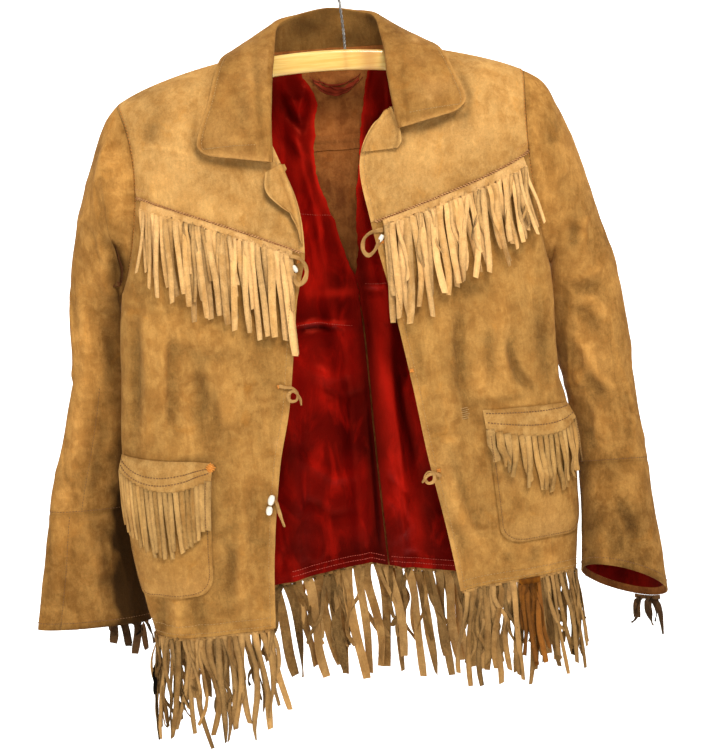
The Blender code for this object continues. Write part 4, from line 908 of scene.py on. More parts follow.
SUEDE_INSIDE = suede("suede_inside", (0.387, 0.14, 0.034), (0.306, 0.098, 0.021), (0.162, 0.044, 0.01), 0.6, 1.2)
SUEDE_ORANGE = suede("suede_orange", (0.293, 0.097, 0.007), (0.17, 0.049, 0.003), (0.062, 0.02, 0.003), 0.7, 0.6)
SATIN_RED = satin("satin", (0.420, 0.007, 0.003), (0.180, 0.0024, 0.0012), (0.062, 0.0009, 0.0006))
SATIN_WORN = satin("satin_worn", (0.300, 0.055, 0.022), (0.200, 0.030, 0.012), (0.110, 0.012, 0.005))
THREAD_PINK = thread_look("thread", (0.66, 0.37, 0.15), (0.30, 0.12, 0.035))
THREAD_RUST = thread_look("thread_rust", (0.80, 0.31, 0.05), (0.48, 0.16, 0.025))
THREAD_DARK = thread_look("thread_dark", (0.24, 0.12, 0.05), (0.12, 0.055, 0.02))
THREAD_PALE = thread_look("thread_pale", (0.50, 0.31, 0.12), (0.30, 0.165, 0.055))
THREAD_RED = thread_look("thread_red", (0.60, 0.12, 0.08), (0.34, 0.03, 0.02))


# ---------------------------------------------------------------- fronts and yokes

STEP = 2.4             # between the points of the fine cloth


def armhole_lip(side, angle):
    """The way into a wall at the armhole."""
    a = np.radians(angle)
    return unit(np.stack([-OUTWARD[side] * (1 - np.cos(a)) / 2, np.sin(a), -np.cos(a)], -1))


def side_lip(side, table, downs):
    """The same down a panel's side: round the armhole, then straight across the side seam."""
    return np.where((downs < UNDERARM)[:, None], armhole_lip(side, arm_angle(table, downs)),
                    np.array([-OUTWARD[side], 0.0, 0.0]))


def front_fields(side, skin, t, down, relief):
    """Tone of a front: painted shade in valleys and seams, painted highlight on ridges, painted shadow lines,
    soil, a worn edge.
    """
    shade = np.clip(relief / 2.6, -1.0, 0.8) * 0.60 + noise(skin, 60, 8) * 0.20 + noise(skin, 21, 9) * 0.18
    shade += noise(skin * np.array([1.0, 1.0, 0.28]), 11, 10) * 0.16
    # Painted shade along the side seam, the armhole and the yoke seam.
    shade -= 0.45 * bell((1 - t) * FRONT_WIDE, 5.0) + 0.30 * bell(down - YOKE_SEAM - 2, 3.0)
    stain, pale = spots(STAINS[side], skin, lambda spot: (max(spot.wide, 3.0) * 0.8, 12))
    # Painted shadow lines under the edges that lie on the front.
    stain = stain + creases(SHADOW_LINES[side], skin[..., 0], skin[..., 2])
    return {"shade": shade, "stain": stain, "pale": pale + 0.35 * bell(t * FRONT_WIDE, 3.0)}


# Painted shadow lines under the edges that lie on a front (lapel, collar, pocket): how wide, how dark, and its
# path.
SHADOW_LINES = {
    RIGHT: lines(
        (3.2, 0.55, -89, -216, -91, -229, -88, -237, -79, -246, -68, -255, -62, -267, -59, -284),
        (4.0, 0.42, -148, -138, -155, -160, -157, -180, -152, -194, -130, -199, -100, -205, -84, -209),
        (4.0, 0.3, -250, -498, -212, -500, -168, -498, -160, -512),
    ),
    LEFT: lines(
        (4.0, 0.42, 108, -108, 117, -130, 123, -150, 119, -169, 98, -174, 62, -186, 48, -196),
        (3.0, 0.35, 50, -196, 54, -188), (4.0, 0.3, 96, -462, 128, -462, 170, -458),
    ),
}
STAINS = {
    RIGHT: rows(Spot,
        (-190, -150, 10, 26, 0.16), (-90, -262, 20, 26, 0.1), (-175, -205, 26, 30, -0.25),
        (-100, -487, 4, 5, -0.8), (-245, -560, 6, 24, 0.25), (-160, -588, 4, 7, 0.3),
        (-120, -600, 10, 60, 0.08), (-208, -240, 30, 6, -0.35), (-190, -665, 40, 8, 0.1),
        (-94, -285, 30, 8, -0.3), (-172, -430, 12, 44, 0.16), (-222, -420, 9, 60, 0.1),
    ),
    LEFT: rows(Spot,
        (120, -190, 26, 16, -0.3), (60, -225, 26, 22, -0.22), (145, -215, 10, 26, 0.1),
        (82, -430, 14, 30, 0.12), (155, -440, 10, 22, 0.14), (70, -600, 16, 40, -0.22),
        (180, -420, 8, 60, 0.14), (60, -495, 14, 5, 0.14), (136, -256, 26, 5, 0.12),
        (120, -645, 40, 7, 0.08), (74, -520, 12, 24, -0.18),
    ),
}


def make_front(side):
    for kind, downs, look, slot in (
            ("yoke", spread(0.0, YOKE_SEAM - SEAM / 2, step=STEP), SUEDE_YOKE, "suede_light"),
            ("front", spread(YOKE_SEAM + SEAM / 2, UNDERARM, HEM, step=STEP), SUEDE_BODY, "suede")):
        t, down = np.meshgrid(np.linspace(0, 1, 84) ** 0.96, downs)
        skin = front_skin(side, t, down)
        skin[..., 1] -= SEAM / 2 * (down == 0)
        skin[:, -1, 1] -= SEAM / 2 * (downs >= UNDERARM)
        inward = inward_of(skin, -OUTWARD[side])
        relief = front_relief(side, skin, t, down)
        if kind == "yoke":
            inward[0] = -UP
        inward[:, -1] = side_lip(side, FRONT[side], downs)
        shell(f"{kind}_cloth_{side}", slot, [f"{kind}_{side}"], skin - inward * relief[..., None], inward,
              SUEDE, [look, SUEDE_INSIDE], **front_fields(side, skin, t, down, relief))


# ---------------------------------------------------------------- the back

def make_back():
    shares = np.linspace(-1, 1, 161)
    for kind, downs, look, slot in (
            ("back_yoke", spread(0.0, BACK_SEAM - SEAM / 2, step=3.0), SUEDE_YOKE, "suede_light"),
            ("back_panel", spread(BACK_SEAM + SEAM / 2, UNDERARM, HEM, step=3.4), SUEDE_BODY, "suede")):
        u, down = np.meshgrid(shares, downs)
        skin = back_skin(u, down)
        skin[..., 1] += SEAM / 2 * (down == 0)
        skin[:, [0, -1], 1] += SEAM / 2 * (downs >= UNDERARM)[:, None]
        inward = inward_of(skin, 1.0)
        if kind == "back_yoke":
            inward[0, np.abs(shares) >= NECK_END] = -UP
        for col, side in ((0, RIGHT), (-1, LEFT)):
            inward[:, col] = side_lip(side, BACK, downs)
        relief = back_relief(skin, u, down)
        # Painted shade in the creases' valleys and along the side and yoke seams, painted highlight on their
        # ridges.
        shade = np.clip(relief / 3.0, -0.8, 0.6) * 0.5 + noise(skin, 60, 23) * 0.22 + noise(skin, 20, 24) * 0.14
        shade -= 0.4 * bell((1 - np.abs(u)) * BACK_HALF, 5.0) + 0.3 * bell(down - BACK_SEAM, 4.0)
        shell(kind + "_cloth", slot, [kind], skin - inward * relief[..., None], inward, SUEDE,
              [look, SUEDE_INSIDE], shade=shade, pale=0.3 * bell(down - 14, 9) * (np.abs(u) > NECK_END),
              stain=0.18 * np.clip(noise(skin, 90, 25) - 0.25, 0, 1))
    # The seam of the yoke from inside: its two raw edges, pressed flat over the seam.
    u, down = np.meshgrid(np.linspace(-0.97, 0.97, 150), np.linspace(BACK_SEAM - 6.5, BACK_SEAM + 8.0, 9))
    down = down + noise_at(u * 200, 0.0, 16, 27) * 0.8 * (np.abs(down - BACK_SEAM) > 5)
    skin = back_skin(u, down)
    inward = inward_of(skin, 1.0)
    relief = back_relief(skin, u, down) + 0.5 * bell(down - BACK_SEAM, 1.5)
    # Painted shade along the seam's fold.
    shell("back_seam_band", "suede", [], skin + inward * (SUEDE + 0.1 - relief)[..., None], inward, 1.1,
          [SUEDE_INSIDE], shade=noise(skin, 18, 28) * 0.3 + 0.06 - 0.5 * bell(down - BACK_SEAM, 1.3), pale=0.06)


# ---------------------------------------------------------------- sleeves

CUFF_SEAM = {RIGHT: 10.85, LEFT: 11.2}      # the places of the seams of the cuffs as they are seen
# A sleeve's long seams: the angle, and the places where it starts and ends.
ARM_SEAMS = {RIGHT: ((205, 0.2, 13.0), (60, 7.5, 10.8), (45, 10.9, 13.0)), LEFT: ((200, 0.2, 13.0),)}
ARM_TONE = {RIGHT: (0.40, 0.06), LEFT: (0.18, 0.055)}       # at the top, and its loss by the ring
# Soil, rubbed places and painted shade on each sleeve's front; the dark spots at the armpit and down the inner
# side by the cuff are painted shade where the sleeve meets the body.
ARM_SPOTS = {
    RIGHT: rows(Spot,
        (-234, -160, 12, 24, 0.16), (-246, -290, 12, 30, 0.66), (-262, -250, 18, 12, 0.26),
        (-254, -335, 14, 34, 0.62), (-266, -385, 13, 44, 0.34), (-284, -292, 16, 12, 0.16),
        (-296, -220, 16, 40, -0.28), (-318, -430, 14, 60, -0.22), (-330, -520, 12, 40, -0.1),
        (-290, -480, 14, 40, 0.2), (-262, -545, 15, 40, 0.78), (-268, -600, 18, 50, 0.86),
        (-282, -650, 18, 34, 0.7), (-300, -560, 14, 40, 0.34), (-310, -684, 44, 5, 0.45),
        (-252, -450, 9, 60, 0.55), (-335, -625, 40, 60, 0.3), (-258, -580, 20, 60, 0.9),
        (-262, -650, 22, 34, 0.9), (-276, -430, 10, 40, 0.24), (-262, -500, 12, 40, 0.6),
        (-256, -620, 12, 60, 0.8),
    ),
    LEFT: rows(Spot,
        (204, -200, 10, 34, 0.26), (212, -250, 10, 20, 0.22), (225, -320, 12, 24, 0.18),
        (226, -190, 16, 40, -0.18), (244, -260, 10, 40, -0.14), (208, -400, 8, 80, 0.34),
        (262, -592, 18, 14, 0.26), (216, -600, 9, 60, 0.48), (240, -540, 30, 12, 0.16),
        (250, -660, 34, 8, 0.34), (240, -440, 12, 50, -0.1), (250, -620, 40, 40, 0.2),
        (232, -480, 14, 34, 0.14), (232, -350, 16, 8, 0.2), (240, -392, 14, 7, 0.16),
    ),
}


def make_sleeve(side):
    angles = np.linspace(0, 360, 120, endpoint=False)
    end, last = CUFF_SEAM[side], len(SLEEVE[side]) + len(CUFF[side])
    for kind, places, nodes in (
            ("sleeve", spread(0.0, 1.0, end, step=0.078), (f"sleeve_{side}_front", f"sleeve_{side}_back")),
            ("cuff", spread(end, last, step=0.055), (f"cuff_{side}",))):
        place, angle = np.meshgrid(places, angles, indexing="ij")
        skin = arm_skin(side, place, angle)
        inward = inward_of(skin, OUTWARD[side], wrap=True)
        if kind == "sleeve":
            ease = step_up(place / 0.5)[..., None]
            inward = unit(inward * ease + armhole_lip(side, angle) * (1 - ease))
            skin[-1, :, 2] += SEAM / 8
        else:
            skin[0, :, 2] -= SEAM / 8
        relief = arm_relief(side, skin, place, angle)
        # Painted shade in the creases' valleys and at the armhole and cuff seams, painted highlight on their
        # ridges; lighter at the top, darker towards the cuff.
        shade = np.clip(relief / 3.0, -0.9, 0.7) * 0.6 + noise(skin, 50, 33) * 0.24 + noise(skin, 18, 34) * 0.18
        shade += ARM_TONE[side][0] - ARM_TONE[side][1] * place
        shade -= 0.4 * bell(place, 0.2) + 0.2 * bell(place - end, 0.06)
        front = step_up((np.sin(np.radians(angle)) + 0.2) / 0.5)
        stain, pale = spots(ARM_SPOTS[side], skin, lambda spot: (12.0, 35))
        stain = stain * front + 0.30 * step_up((place - last + 0.12) / 0.12)
        shell(f"{kind}_cloth_{side}", "suede_dark", nodes, skin - inward * relief[..., None], inward, SUEDE,
              [SUEDE_ARM, SUEDE_INSIDE], wrap=True, shade=shade, stain=stain, pale=pale * front)


# ---------------------------------------------------------------- collar and lapels

LEAF_ROUND = 11.0


def collar_rows():
    """The collar's seam, fold and outer edge at close places along it."""
    places = np.linspace(0, len(COLLAR) - 1, 230)
    return places, [through(part, places) for part in zip(*COLLAR)]


def make_collar():
    places, (seam, fold, outer) = collar_rows()
    rise = unit(fold - (seam + outer) / 2)
    away = unit((outer - seam) - rise * np.sum((outer - seam) * rise, -1, keepdims=True))
    away = np.where(((places < 1.9) | (places > len(COLLAR) - 2.9))[:, None], FORWARD, away)
    from_start = np.concatenate([[0], np.cumsum(np.linalg.norm(np.diff(outer, axis=0), axis=1))])
    from_end = np.minimum(from_start, from_start[-1] - from_start)
    left_over = np.clip(from_end / LEAF_ROUND, 0, 1)
    inset = LEAF_ROUND * (1 - np.sqrt(1 - (1 - left_over) ** 2))
    outer = outer + (fold - outer) * (inset / np.linalg.norm(outer - fold, axis=1))[:, None]
    r = FOLD_RADIUS
    inner_turn, outer_turn = fold - rise * r - away * r, fold - rise * r + away * r
    columns = [seam + (inner_turn - seam) * k for k in np.linspace(0, 1, 11)]
    for a in np.radians(np.linspace(0, 180, 12)[1:-1]):
        columns.append(fold - rise * r * (1 - math.sin(a)) - away * r * math.cos(a))
    for k in np.concatenate([np.linspace(0, 0.86, 24), np.linspace(0.88, 1, 8)]):
        lift = 2.4 * math.sin(math.pi * min(1.0, k * 1.02)) ** 0.8
        columns.append(outer_turn + (outer - outer_turn) * k + away * lift)
    grid = np.stack(columns, 1)
    inward = inward_of(grid, -1.0)
    share, col = np.linspace(0, 1, grid.shape[1])[None], np.arange(grid.shape[1])[None]
    on_fall = col > 20
    from_edge = np.minimum(np.linalg.norm(grid - grid[:, -1:], axis=-1), from_end[:, None])
    from_edge = np.where(on_fall, from_edge, 60.0)
    relief = noise(grid, 30, 41) * 0.8 + noise(grid, 10, 42) * 0.25
    relief = relief + creases(COLLAR_CREASES, grid[..., 0], grid[..., 2]) * on_fall
    relief = relief * step_up(from_edge / 6)
    relief += 0.55 * bell(from_edge - 1.4, 1.5) - 0.5 * bell(from_edge - 5.2, 1.6)
    relief = relief * step_up(share / 0.06)
    # Painted shade in the creases' valleys and painted highlight on their ridges and welt.
    shade = np.clip(relief / 2.0, -0.8, 0.6) * 0.6 + noise(grid, 45, 43) * 0.22 + noise(grid, 15, 44) * 0.16
    stain, pale = spots(COLLAR_SPOTS, grid)
    pale = (pale + 0.55 * bell(from_edge, 2.2) + 0.4 * np.clip(noise(grid, 24, 45), 0, 1)) * on_fall
    stain = stain * on_fall + np.where(col < 14, 0.55 + 0.22 * noise(grid, 16, 46), 0.0)
    shell("collar_cloth", "suede_light", ["collar"], grid - inward * relief[..., None], inward, COLLAR_WALL,
          [SUEDE_COLLAR, SUEDE_COLLAR], shade=shade, pale=pale, stain=stain)


COLLAR_CREASES = lines(
    (3, -0.9, -91, -80, -90, -120, -88, -185), (4, 0.8, -96, -84, -96, -130, -95, -186),
    (6, 1.0, -120, -110, -126, -150), (6, -0.9, -108, -120, -104, -165), (5, 1.0, -100, -170, -125, -180),
    (5, 0.9, 60, -110, 80, -130, 98, -138), (5, -0.8, 58, -125, 80, -148),
    (3, -0.6, 56, -100, 57, -140, 60, -168),
)
COLLAR_SPOTS = rows(Spot,
    (-124, -103, 7, 8, 0.16), (-88, -130, 3, 50, 0.16), (-132, -168, 16, 22, -0.35),
    (-104, -150, 10, 20, -0.25), (74, -90, 3, 2.5, -0.9), (82, -150, 2.5, 3.0, -0.9),
    (86, -142, 14, 10, -0.25), (-118, -80, 12, 8, 0.1), (58, -120, 3, 36, 0.14),
)
# Each lapel as it is seen: its roll along the opening, and its free edge, row by row.
Lapel = namedtuple("Lapel", "roll_x roll_z edge_x edge_z")
TURNED = {
    RIGHT: rows(Lapel,
        (-70, -204, -88, -212), (-64, -222, -90, -226), (-60, -238, -86, -236), (-57.5, -252, -76, -246.5),
        (-56.5, -264, -66, -256), (-56, -276, -60.5, -268), (-56, -288, -58, -284),
    ),
    LEFT: rows(Lapel,
        (37, -158, 44, -158), (29, -168, 49, -172), (21, -178, 51, -184), (14, -189, 50.5, -192),
        (9, -199, 47, -197.5),
    ),
}
LAPEL_STAND = {RIGHT: 4.2, LEFT: 2.6}       # how far the free edge stands off


def make_lapel(side):
    """The top corner of a front, rolled back over its own face, its free edge standing off a little."""
    way = through(TURNED[side], np.linspace(0, len(TURNED[side]) - 1, 46))
    roll, edge = way[:, :2], way[:, 2:]
    share = np.linspace(0.0, 1.0, 19)
    places = roll[:, None] + (edge - roll)[:, None] * share[None, :, None]
    skin = front_at(side, places[..., 0], places[..., 1], RAISED + SUEDE)
    wide = np.linalg.norm(edge - roll, axis=-1)[:, None]
    from_roll = wide * share[None]
    from_edge = wide - from_roll
    inward = inward_of(skin, -OUTWARD[side])
    relief = 2.6 * bell(from_roll - 4.0, 3.6) - 2.0 * bell(from_roll, 1.6) + 0.9 * bell(from_edge - 1.2, 1.3)
    relief += LAPEL_STAND[side] * share[None] ** 2 * step_up(wide / 14) + noise(skin, 12, 51) * 0.7
    relief -= 0.4 * bell(from_edge - 4.5, 1.5) * (wide > 10)
    # Painted highlight along the roll and painted shade in the groove by the free edge.
    shade = noise(skin, 20, 52) * 0.25 + 0.3 * bell(from_roll - 3.2, 3.0)
    shade -= 0.45 * bell(from_edge - 4.0, 1.6) * (wide > 10)
    shell("lapel_cloth_" + side, "suede_light", ["lapel_" + side], skin - inward * relief[..., None], inward,
          SUEDE, [SUEDE_YOKE, SUEDE_INSIDE], shade=shade, pale=0.6 * bell(from_edge, 1.6),
          stain=0.10 + 0.10 * noise(skin, 14, 53))


# ---------------------------------------------------------------- pockets

def pocket_edge(side, straight, steps):
    """Depths down a pocket's patch and its near and far shares there, its low corners rounded in steps."""
    pocket = POCKETS[side]
    down = np.concatenate([straight, pocket.low - CORNER * np.cos(np.linspace(0, math.pi / 2, steps))[1:]])
    inset = 1 - np.sqrt(1 - (1 - np.clip((pocket.low - down) / CORNER, 0, 1)) ** 2)
    run = (down - pocket.top_near) / (pocket.low - pocket.top_near)
    near = pocket.near + (pocket.near_low - pocket.near) * run + CORNER_NEAR * inset
    return down, near, pocket.far - CORNER_FAR * inset


def make_pocket(side):
    pocket, share = POCKETS[side], np.linspace(0, 1, 60)
    start = max(pocket.top_near, pocket.top_far) + BAND_TALL * 0.5
    downs, near, far = pocket_edge(side, spread(start, pocket.low - CORNER, step=STEP), 16)
    t = near[:, None] + (far - near)[:, None] * share[None]
    down = np.broadcast_to(downs[:, None], t.shape)
    skin = over_front(side, t, down, RAISED + SUEDE)
    inward = inward_of(skin, -OUTWARD[side])
    from_rim = np.minimum(np.minimum(share, 1 - share)[None] * (far - near)[:, None] * FRONT_WIDE,
                          pocket.low - down)
    relief = 1.5 * step_up(from_rim / 40) + noise(skin, 26, 61) * 0.5 * step_up(from_rim / 8)
    relief -= 0.5 * bell(from_rim - 2.6, 1.3)
    # Painted shade and highlight from the patch's relief, and painted shade at its rim.
    shade = np.clip(relief / 3, -0.5, 0.5) * 0.3 + noise(skin, 34, 62) * 0.20 - 0.35 * bell(from_rim, 1.6)
    shade -= 0.20 * (side == LEFT)
    shell("pocket_cloth_" + side, "suede", ["pocket_" + side], skin - inward * relief[..., None], inward, SUEDE,
          [SUEDE_BODY, SUEDE_INSIDE], shade=shade,
          pale=0.35 * np.clip(noise(skin, 30, 63), 0, 1) + 0.25 * step_up((down - pocket.low + 40) / 30))


# ---------------------------------------------------------------- fringe

THIRDS = (0, 0.5, 1)    # where along a fringe its first, middle and last lengths are told


def cut_strands(cut, pitch, layer):
    """Each strand's steps along, out and down, with the part's own chances, so it hangs where its solid does."""
    chance = random.Random(cut.seed)
    room, rest = 2 * pitch - cut.share * pitch - 1.0, cut.steps - 1
    strands, leans = [], []
    for k in range(cut.count):
        along = k / (cut.count - 1)
        length = float(smooth(THIRDS, (cut.first, cut.middle, cut.last), along)) * chance.uniform(0.84, 1.08)
        lean = chance.uniform(-1, 1) * cut.sway + cut.fan * along ** 4
        if k > 1:
            lean = min(max(lean, leans[k - 2] - room), leans[k - 2] + room)
        leans.append(lean)
        bow = chance.uniform(-1, 1) * min(1.6, room / 3)
        out = layer * (k % 2) + chance.uniform(0.2, 0.6)
        start = chance.uniform(-0.1, 0.1) * pitch
        steps = [(start, out * 0.45, -length * 0.2)]
        for n in range(1, rest + 1):
            swing = (lean - start) / rest + (bow if n < rest else -bow) * (rest > 1)
            steps.append((swing, out * 0.55 / rest, -length * 0.8 / rest))
        strands.append(steps)
    return strands


def hang(lows, inward, cut, layer):
    """The steps of a cut's strands in the frame's axes, each strand below its stretch of the strip's edge."""
    pitch = float(np.linalg.norm(lows[-1] - lows[0])) / (len(lows) - 1)
    hung = []
    for k, steps in enumerate(cut_strands(cut, pitch, layer)):
        along, out = unit((lows[k + 1] - lows[k]) * LEVEL), -unit((inward[k] + inward[k + 1]) * LEVEL)
        hung.append([along * x + out * y + UP * z for x, y, z in steps])
    return hung


def clear_of_front(side, lows, strands, height):
    """Pushes strands outward where they would enter the front they hang over."""
    for a, b, steps in zip(lows, lows[1:], strands):
        here = (a + b) / 2
        for n, shift in enumerate(steps):
            here = here + shift
            push = min(0.0, float(front_at(side, here[0], here[2], height)[1]) - here[1])
            here[1] += push
            steps[n] = shift - FORWARD * push
    return strands


def strand_mesh(cloth, path, sideways, out, width, thick, chance, curl, tone, stain=0.0, swing=1.0):
    """A cut thong: a flat strip that follows its path, turns a little and ends square or ragged."""
    count = 17
    middle = through(path, np.linspace(0, len(path) - 1, count))
    s = np.linspace(0, 1, count)
    phase, waves = chance.uniform(0, 6.28), chance.uniform(0.7, 1.6)
    twist = curl * chance.uniform(-1.0, 1.0) * s ** 1.3 + curl * 0.45 * np.sin(waves * 6.28 * s + phase) * s
    wave = np.sin(waves * 5.0 * s + phase) * s * swing
    bow = np.maximum(0, np.sin(waves * 6.5 * s + phase * 1.7)) * s * swing * 0.8
    tangent = unit(np.gradient(middle, axis=0))
    side = unit(sideways - tangent * np.sum(sideways * tangent, -1, keepdims=True))
    face = np.cross(tangent, side)
    face = face * np.sign(np.sum(face * out, -1, keepdims=True) + 1e-9)
    cos, sin = np.cos(twist)[:, None], np.sin(twist)[:, None]
    turned, flat = side * cos + face * sin, face * cos - side * sin
    middle = middle + side * wave[:, None] + face * (bow[:, None] + np.abs(sin) * width * 0.32)
    spans = width * (1 - 0.10 * np.sin(3.1 * s + phase) ** 2) * np.where(s > 0.985, 0.84, 1.0)
    cup = 0.28 * thick * chance.uniform(0.2, 1.4)
    half = thick / 2
    verts = np.stack([middle + turned * (spans * edge)[:, None] + flat * lift for edge, lift in (
        (-0.5, half - cup), (0.0, half + cup), (0.5, half - cup),
        (0.5, -cup - half), (0.0, cup - half), (-0.5, -cup - half))], 1)
    verts[-1] += tangent[-1] * np.array([1.0, 0.2, -0.8, -0.8, 0.2, 1.0])[:, None] * chance.uniform(-1.2, 1.2)
    outside = np.cross(verts[1, 1] - verts[0, 1], verts[0, 2] - verts[0, 1])
    # Painted shade where the strand turns and at its root, painted shadow along its edges, painted highlight
    # along its middle, and a darker underside.
    shade = tone + 0.14 * np.sin(7 * s + phase)[:, None] - 0.30 * np.abs(sin) - 0.35 * bell(s, 0.05)[:, None]
    shade = shade + np.array([-0.42, 0.16, -0.42, -0.8, -0.8, -0.8])
    pale = np.tile(np.clip(0.25 + 0.3 * math.sin(phase * 3), 0, 1) + np.array([0.2, 0, 0.2, 0, 0, 0]), count)
    cloth.add(verts.reshape(-1, 3), flipped(capped(count, 6), float(outside @ flat[0]) > 0),
              shade=shade.ravel(), pale=pale, stain=stain)


def strip_mesh(cloth, edges, inward, thick):
    """The uncut part of a fringe: a fine strip through its lines, from the top one to the lowest."""
    at = np.linspace(0, len(inward) - 1, (len(inward) - 1) * 3 + 1)
    into = unit(through(inward, at))
    edges = np.array([through(edge, at) for edge in edges])
    share = np.linspace(0, 1, 6 * (len(edges) - 1) + 1)
    grid = through(edges, share * (len(edges) - 1))
    grid = grid - into[None] * (noise(grid, 9, 71) * 0.25 * np.sin(math.pi * share)[:, None])[..., None]
    size, count = grid.shape[:2], grid.shape[0] * grid.shape[1]
    turned = float(np.cross(grid[1, 0] - grid[0, 0], grid[0, 1] - grid[0, 0]) @ into[0]) > 0
    faces = grid_faces(*size, False, 0, turned) + grid_faces(*size, False, count, not turned)
    loop = ring_of(*size, False)[0]
    faces += flipped([[a, b, count + b, count + a] for a, b in zip(loop, loop[1:] + loop[:1])], turned)
    shade = noise(grid, 24, 72) * 0.2 - 0.25 * bell(share, 0.12)[:, None]
    cloth.add(np.concatenate([grid.reshape(-1, 3), (grid + into[None] * thick).reshape(-1, 3)]), faces,
              shade=np.tile(shade.ravel(), 2))


# How a fringe hangs: width of its strands in shares of their pitch, twist, sideways swing and the
# drift of whole bundles in mm; its extra strands, how many, how wide, and how deep behind the rest;
# and how soiled and how light it is.
Hang = namedtuple("Hang", "wide twist swing bundle more more_wide more_deep stain tone", defaults=(0.0,))
MIXED = 20             # with more extra strands than this, the tones of a fringe vary more


def fringe_piece(name, look, slot, cut, tops, lows, inward, strands, manner):
    """The strip and the strands of a fringe as fine cloth, with some extra strands among them."""
    chance = random.Random(cut.seed + 1000)
    cloth = Cloth()
    strip_mesh(cloth, [tops, lows], inward, THONG)
    for k, steps in enumerate(strands):
        a, b, into = lows[k], lows[k + 1], unit(inward[k] + inward[k + 1])
        root = (a + b) / 2 + into * THONG / 2
        path = [root + UP * 1.6, root - UP * 0.4, *(root + np.cumsum(steps, axis=0))]
        s = np.linspace(0, 1, 60)
        drift = noise_at(k * 5.0, cut.seed * 3.0, 17, 77) + noise_at(k * 5.0, cut.seed * 3.0, 42, 78)
        along = unit(b - a)
        path = through(path, s * (len(path) - 1)) + along * (manner.bundle * 0.7 * drift * s ** 1.3)[:, None]
        width = float(np.linalg.norm(b - a)) * manner.wide * chance.uniform(0.88, 1.14)
        twist = manner.twist * chance.uniform(0.2, 1.2)
        tone = manner.tone + chance.uniform(-0.40, 0.28)
        if manner.more > MIXED:
            tone += chance.uniform(-0.35, 0.35)
        stain, swing = manner.stain * chance.uniform(0.3, 1.4), manner.swing * chance.uniform(0.3, 1.3)
        strand_mesh(cloth, path[np.linspace(0, 59, 9).astype(int)], along, -into, width, THONG * 0.8, chance,
                    twist, tone, stain, swing)
    for _ in range(manner.more):
        k = chance.randrange(len(strands))
        a, b, into = lows[k], lows[k + 1], unit(inward[k] + inward[k + 1])
        here = a + (b - a) * chance.random() + into * chance.uniform(*manner.more_deep) + UP * 1.5
        length = chance.uniform(0.55, 0.98) * (cut.first + cut.last) / 2
        drift = chance.uniform(-1, 1) * (4 + manner.bundle)
        steps = [unit(b - a) * (drift / 5 + chance.uniform(-0.3, 0.3) * manner.swing) - UP * length / 5
                 for _ in range(5)]
        width = chance.uniform(*manner.more_wide)
        tone, stain = manner.tone + chance.uniform(-0.9, 0.25), manner.stain * chance.uniform(0.2, 1.8)
        strand_mesh(cloth, here + np.cumsum([0 * UP, *steps], axis=0), unit(b - a), -into, width, THONG * 0.7,
                    chance, manner.twist, tone, stain, manner.swing)
    dress(cloth.piece(name + "_cloth", look), slot, name)


YOKE_MANNER = {RIGHT: Hang(1.04, 0.7, 1.2, 3.0, 12, (3.4, 5.6), (-3.0, -1.5), 0.04),
               LEFT: Hang(1.06, 1.1, 3.0, 6.0, 20, (3.6, 5.8), (-3.6, -1.5), 0.03, 0.16)}


def make_yoke_fringe(side):
    cut = YOKE_CUT[side]
    shares = np.linspace(*YOKE_ENDS[side], cut.count + 1)
    tops = over_front(side, shares, YOKE_SEAM + 1, RAISED + THONG)
    lows = over_front(side, shares, YOKE_SEAM + 1 + STRIP_TALL * 0.8, STRAND_GAP)
    inward = -front_normal(side, shares, YOKE_SEAM + 2)
    strands = clear_of_front(side, lows, hang(lows, inward, cut, 6.0), STRAND_GAP)
    fringe_piece("yoke_fringe_" + side, SUEDE_FRINGE, "suede_light", cut, tops, lows, inward, strands,
                 YOKE_MANNER[side])


# Each pocket's strands: how many, their lengths at the near end, the middle and the far end, how far
# they stray, how they hang, and the seed of their chances.
PocketCut = namedtuple("PocketCut", "count lengths stray twist swing seed")
POCKET_STRANDS = {RIGHT: PocketCut(21, (46, 63, 52), 2.2, 0.10, 0.35, 2021),
                  LEFT: PocketCut(17, (34, 62, 46), 6.0, 0.7, 2.4, 2022)}


def band_tops(side, share):
    """The depths of the top of a pocket's band."""
    pocket = POCKETS[side]
    return pocket.top_near + (pocket.top_far - pocket.top_near) * share


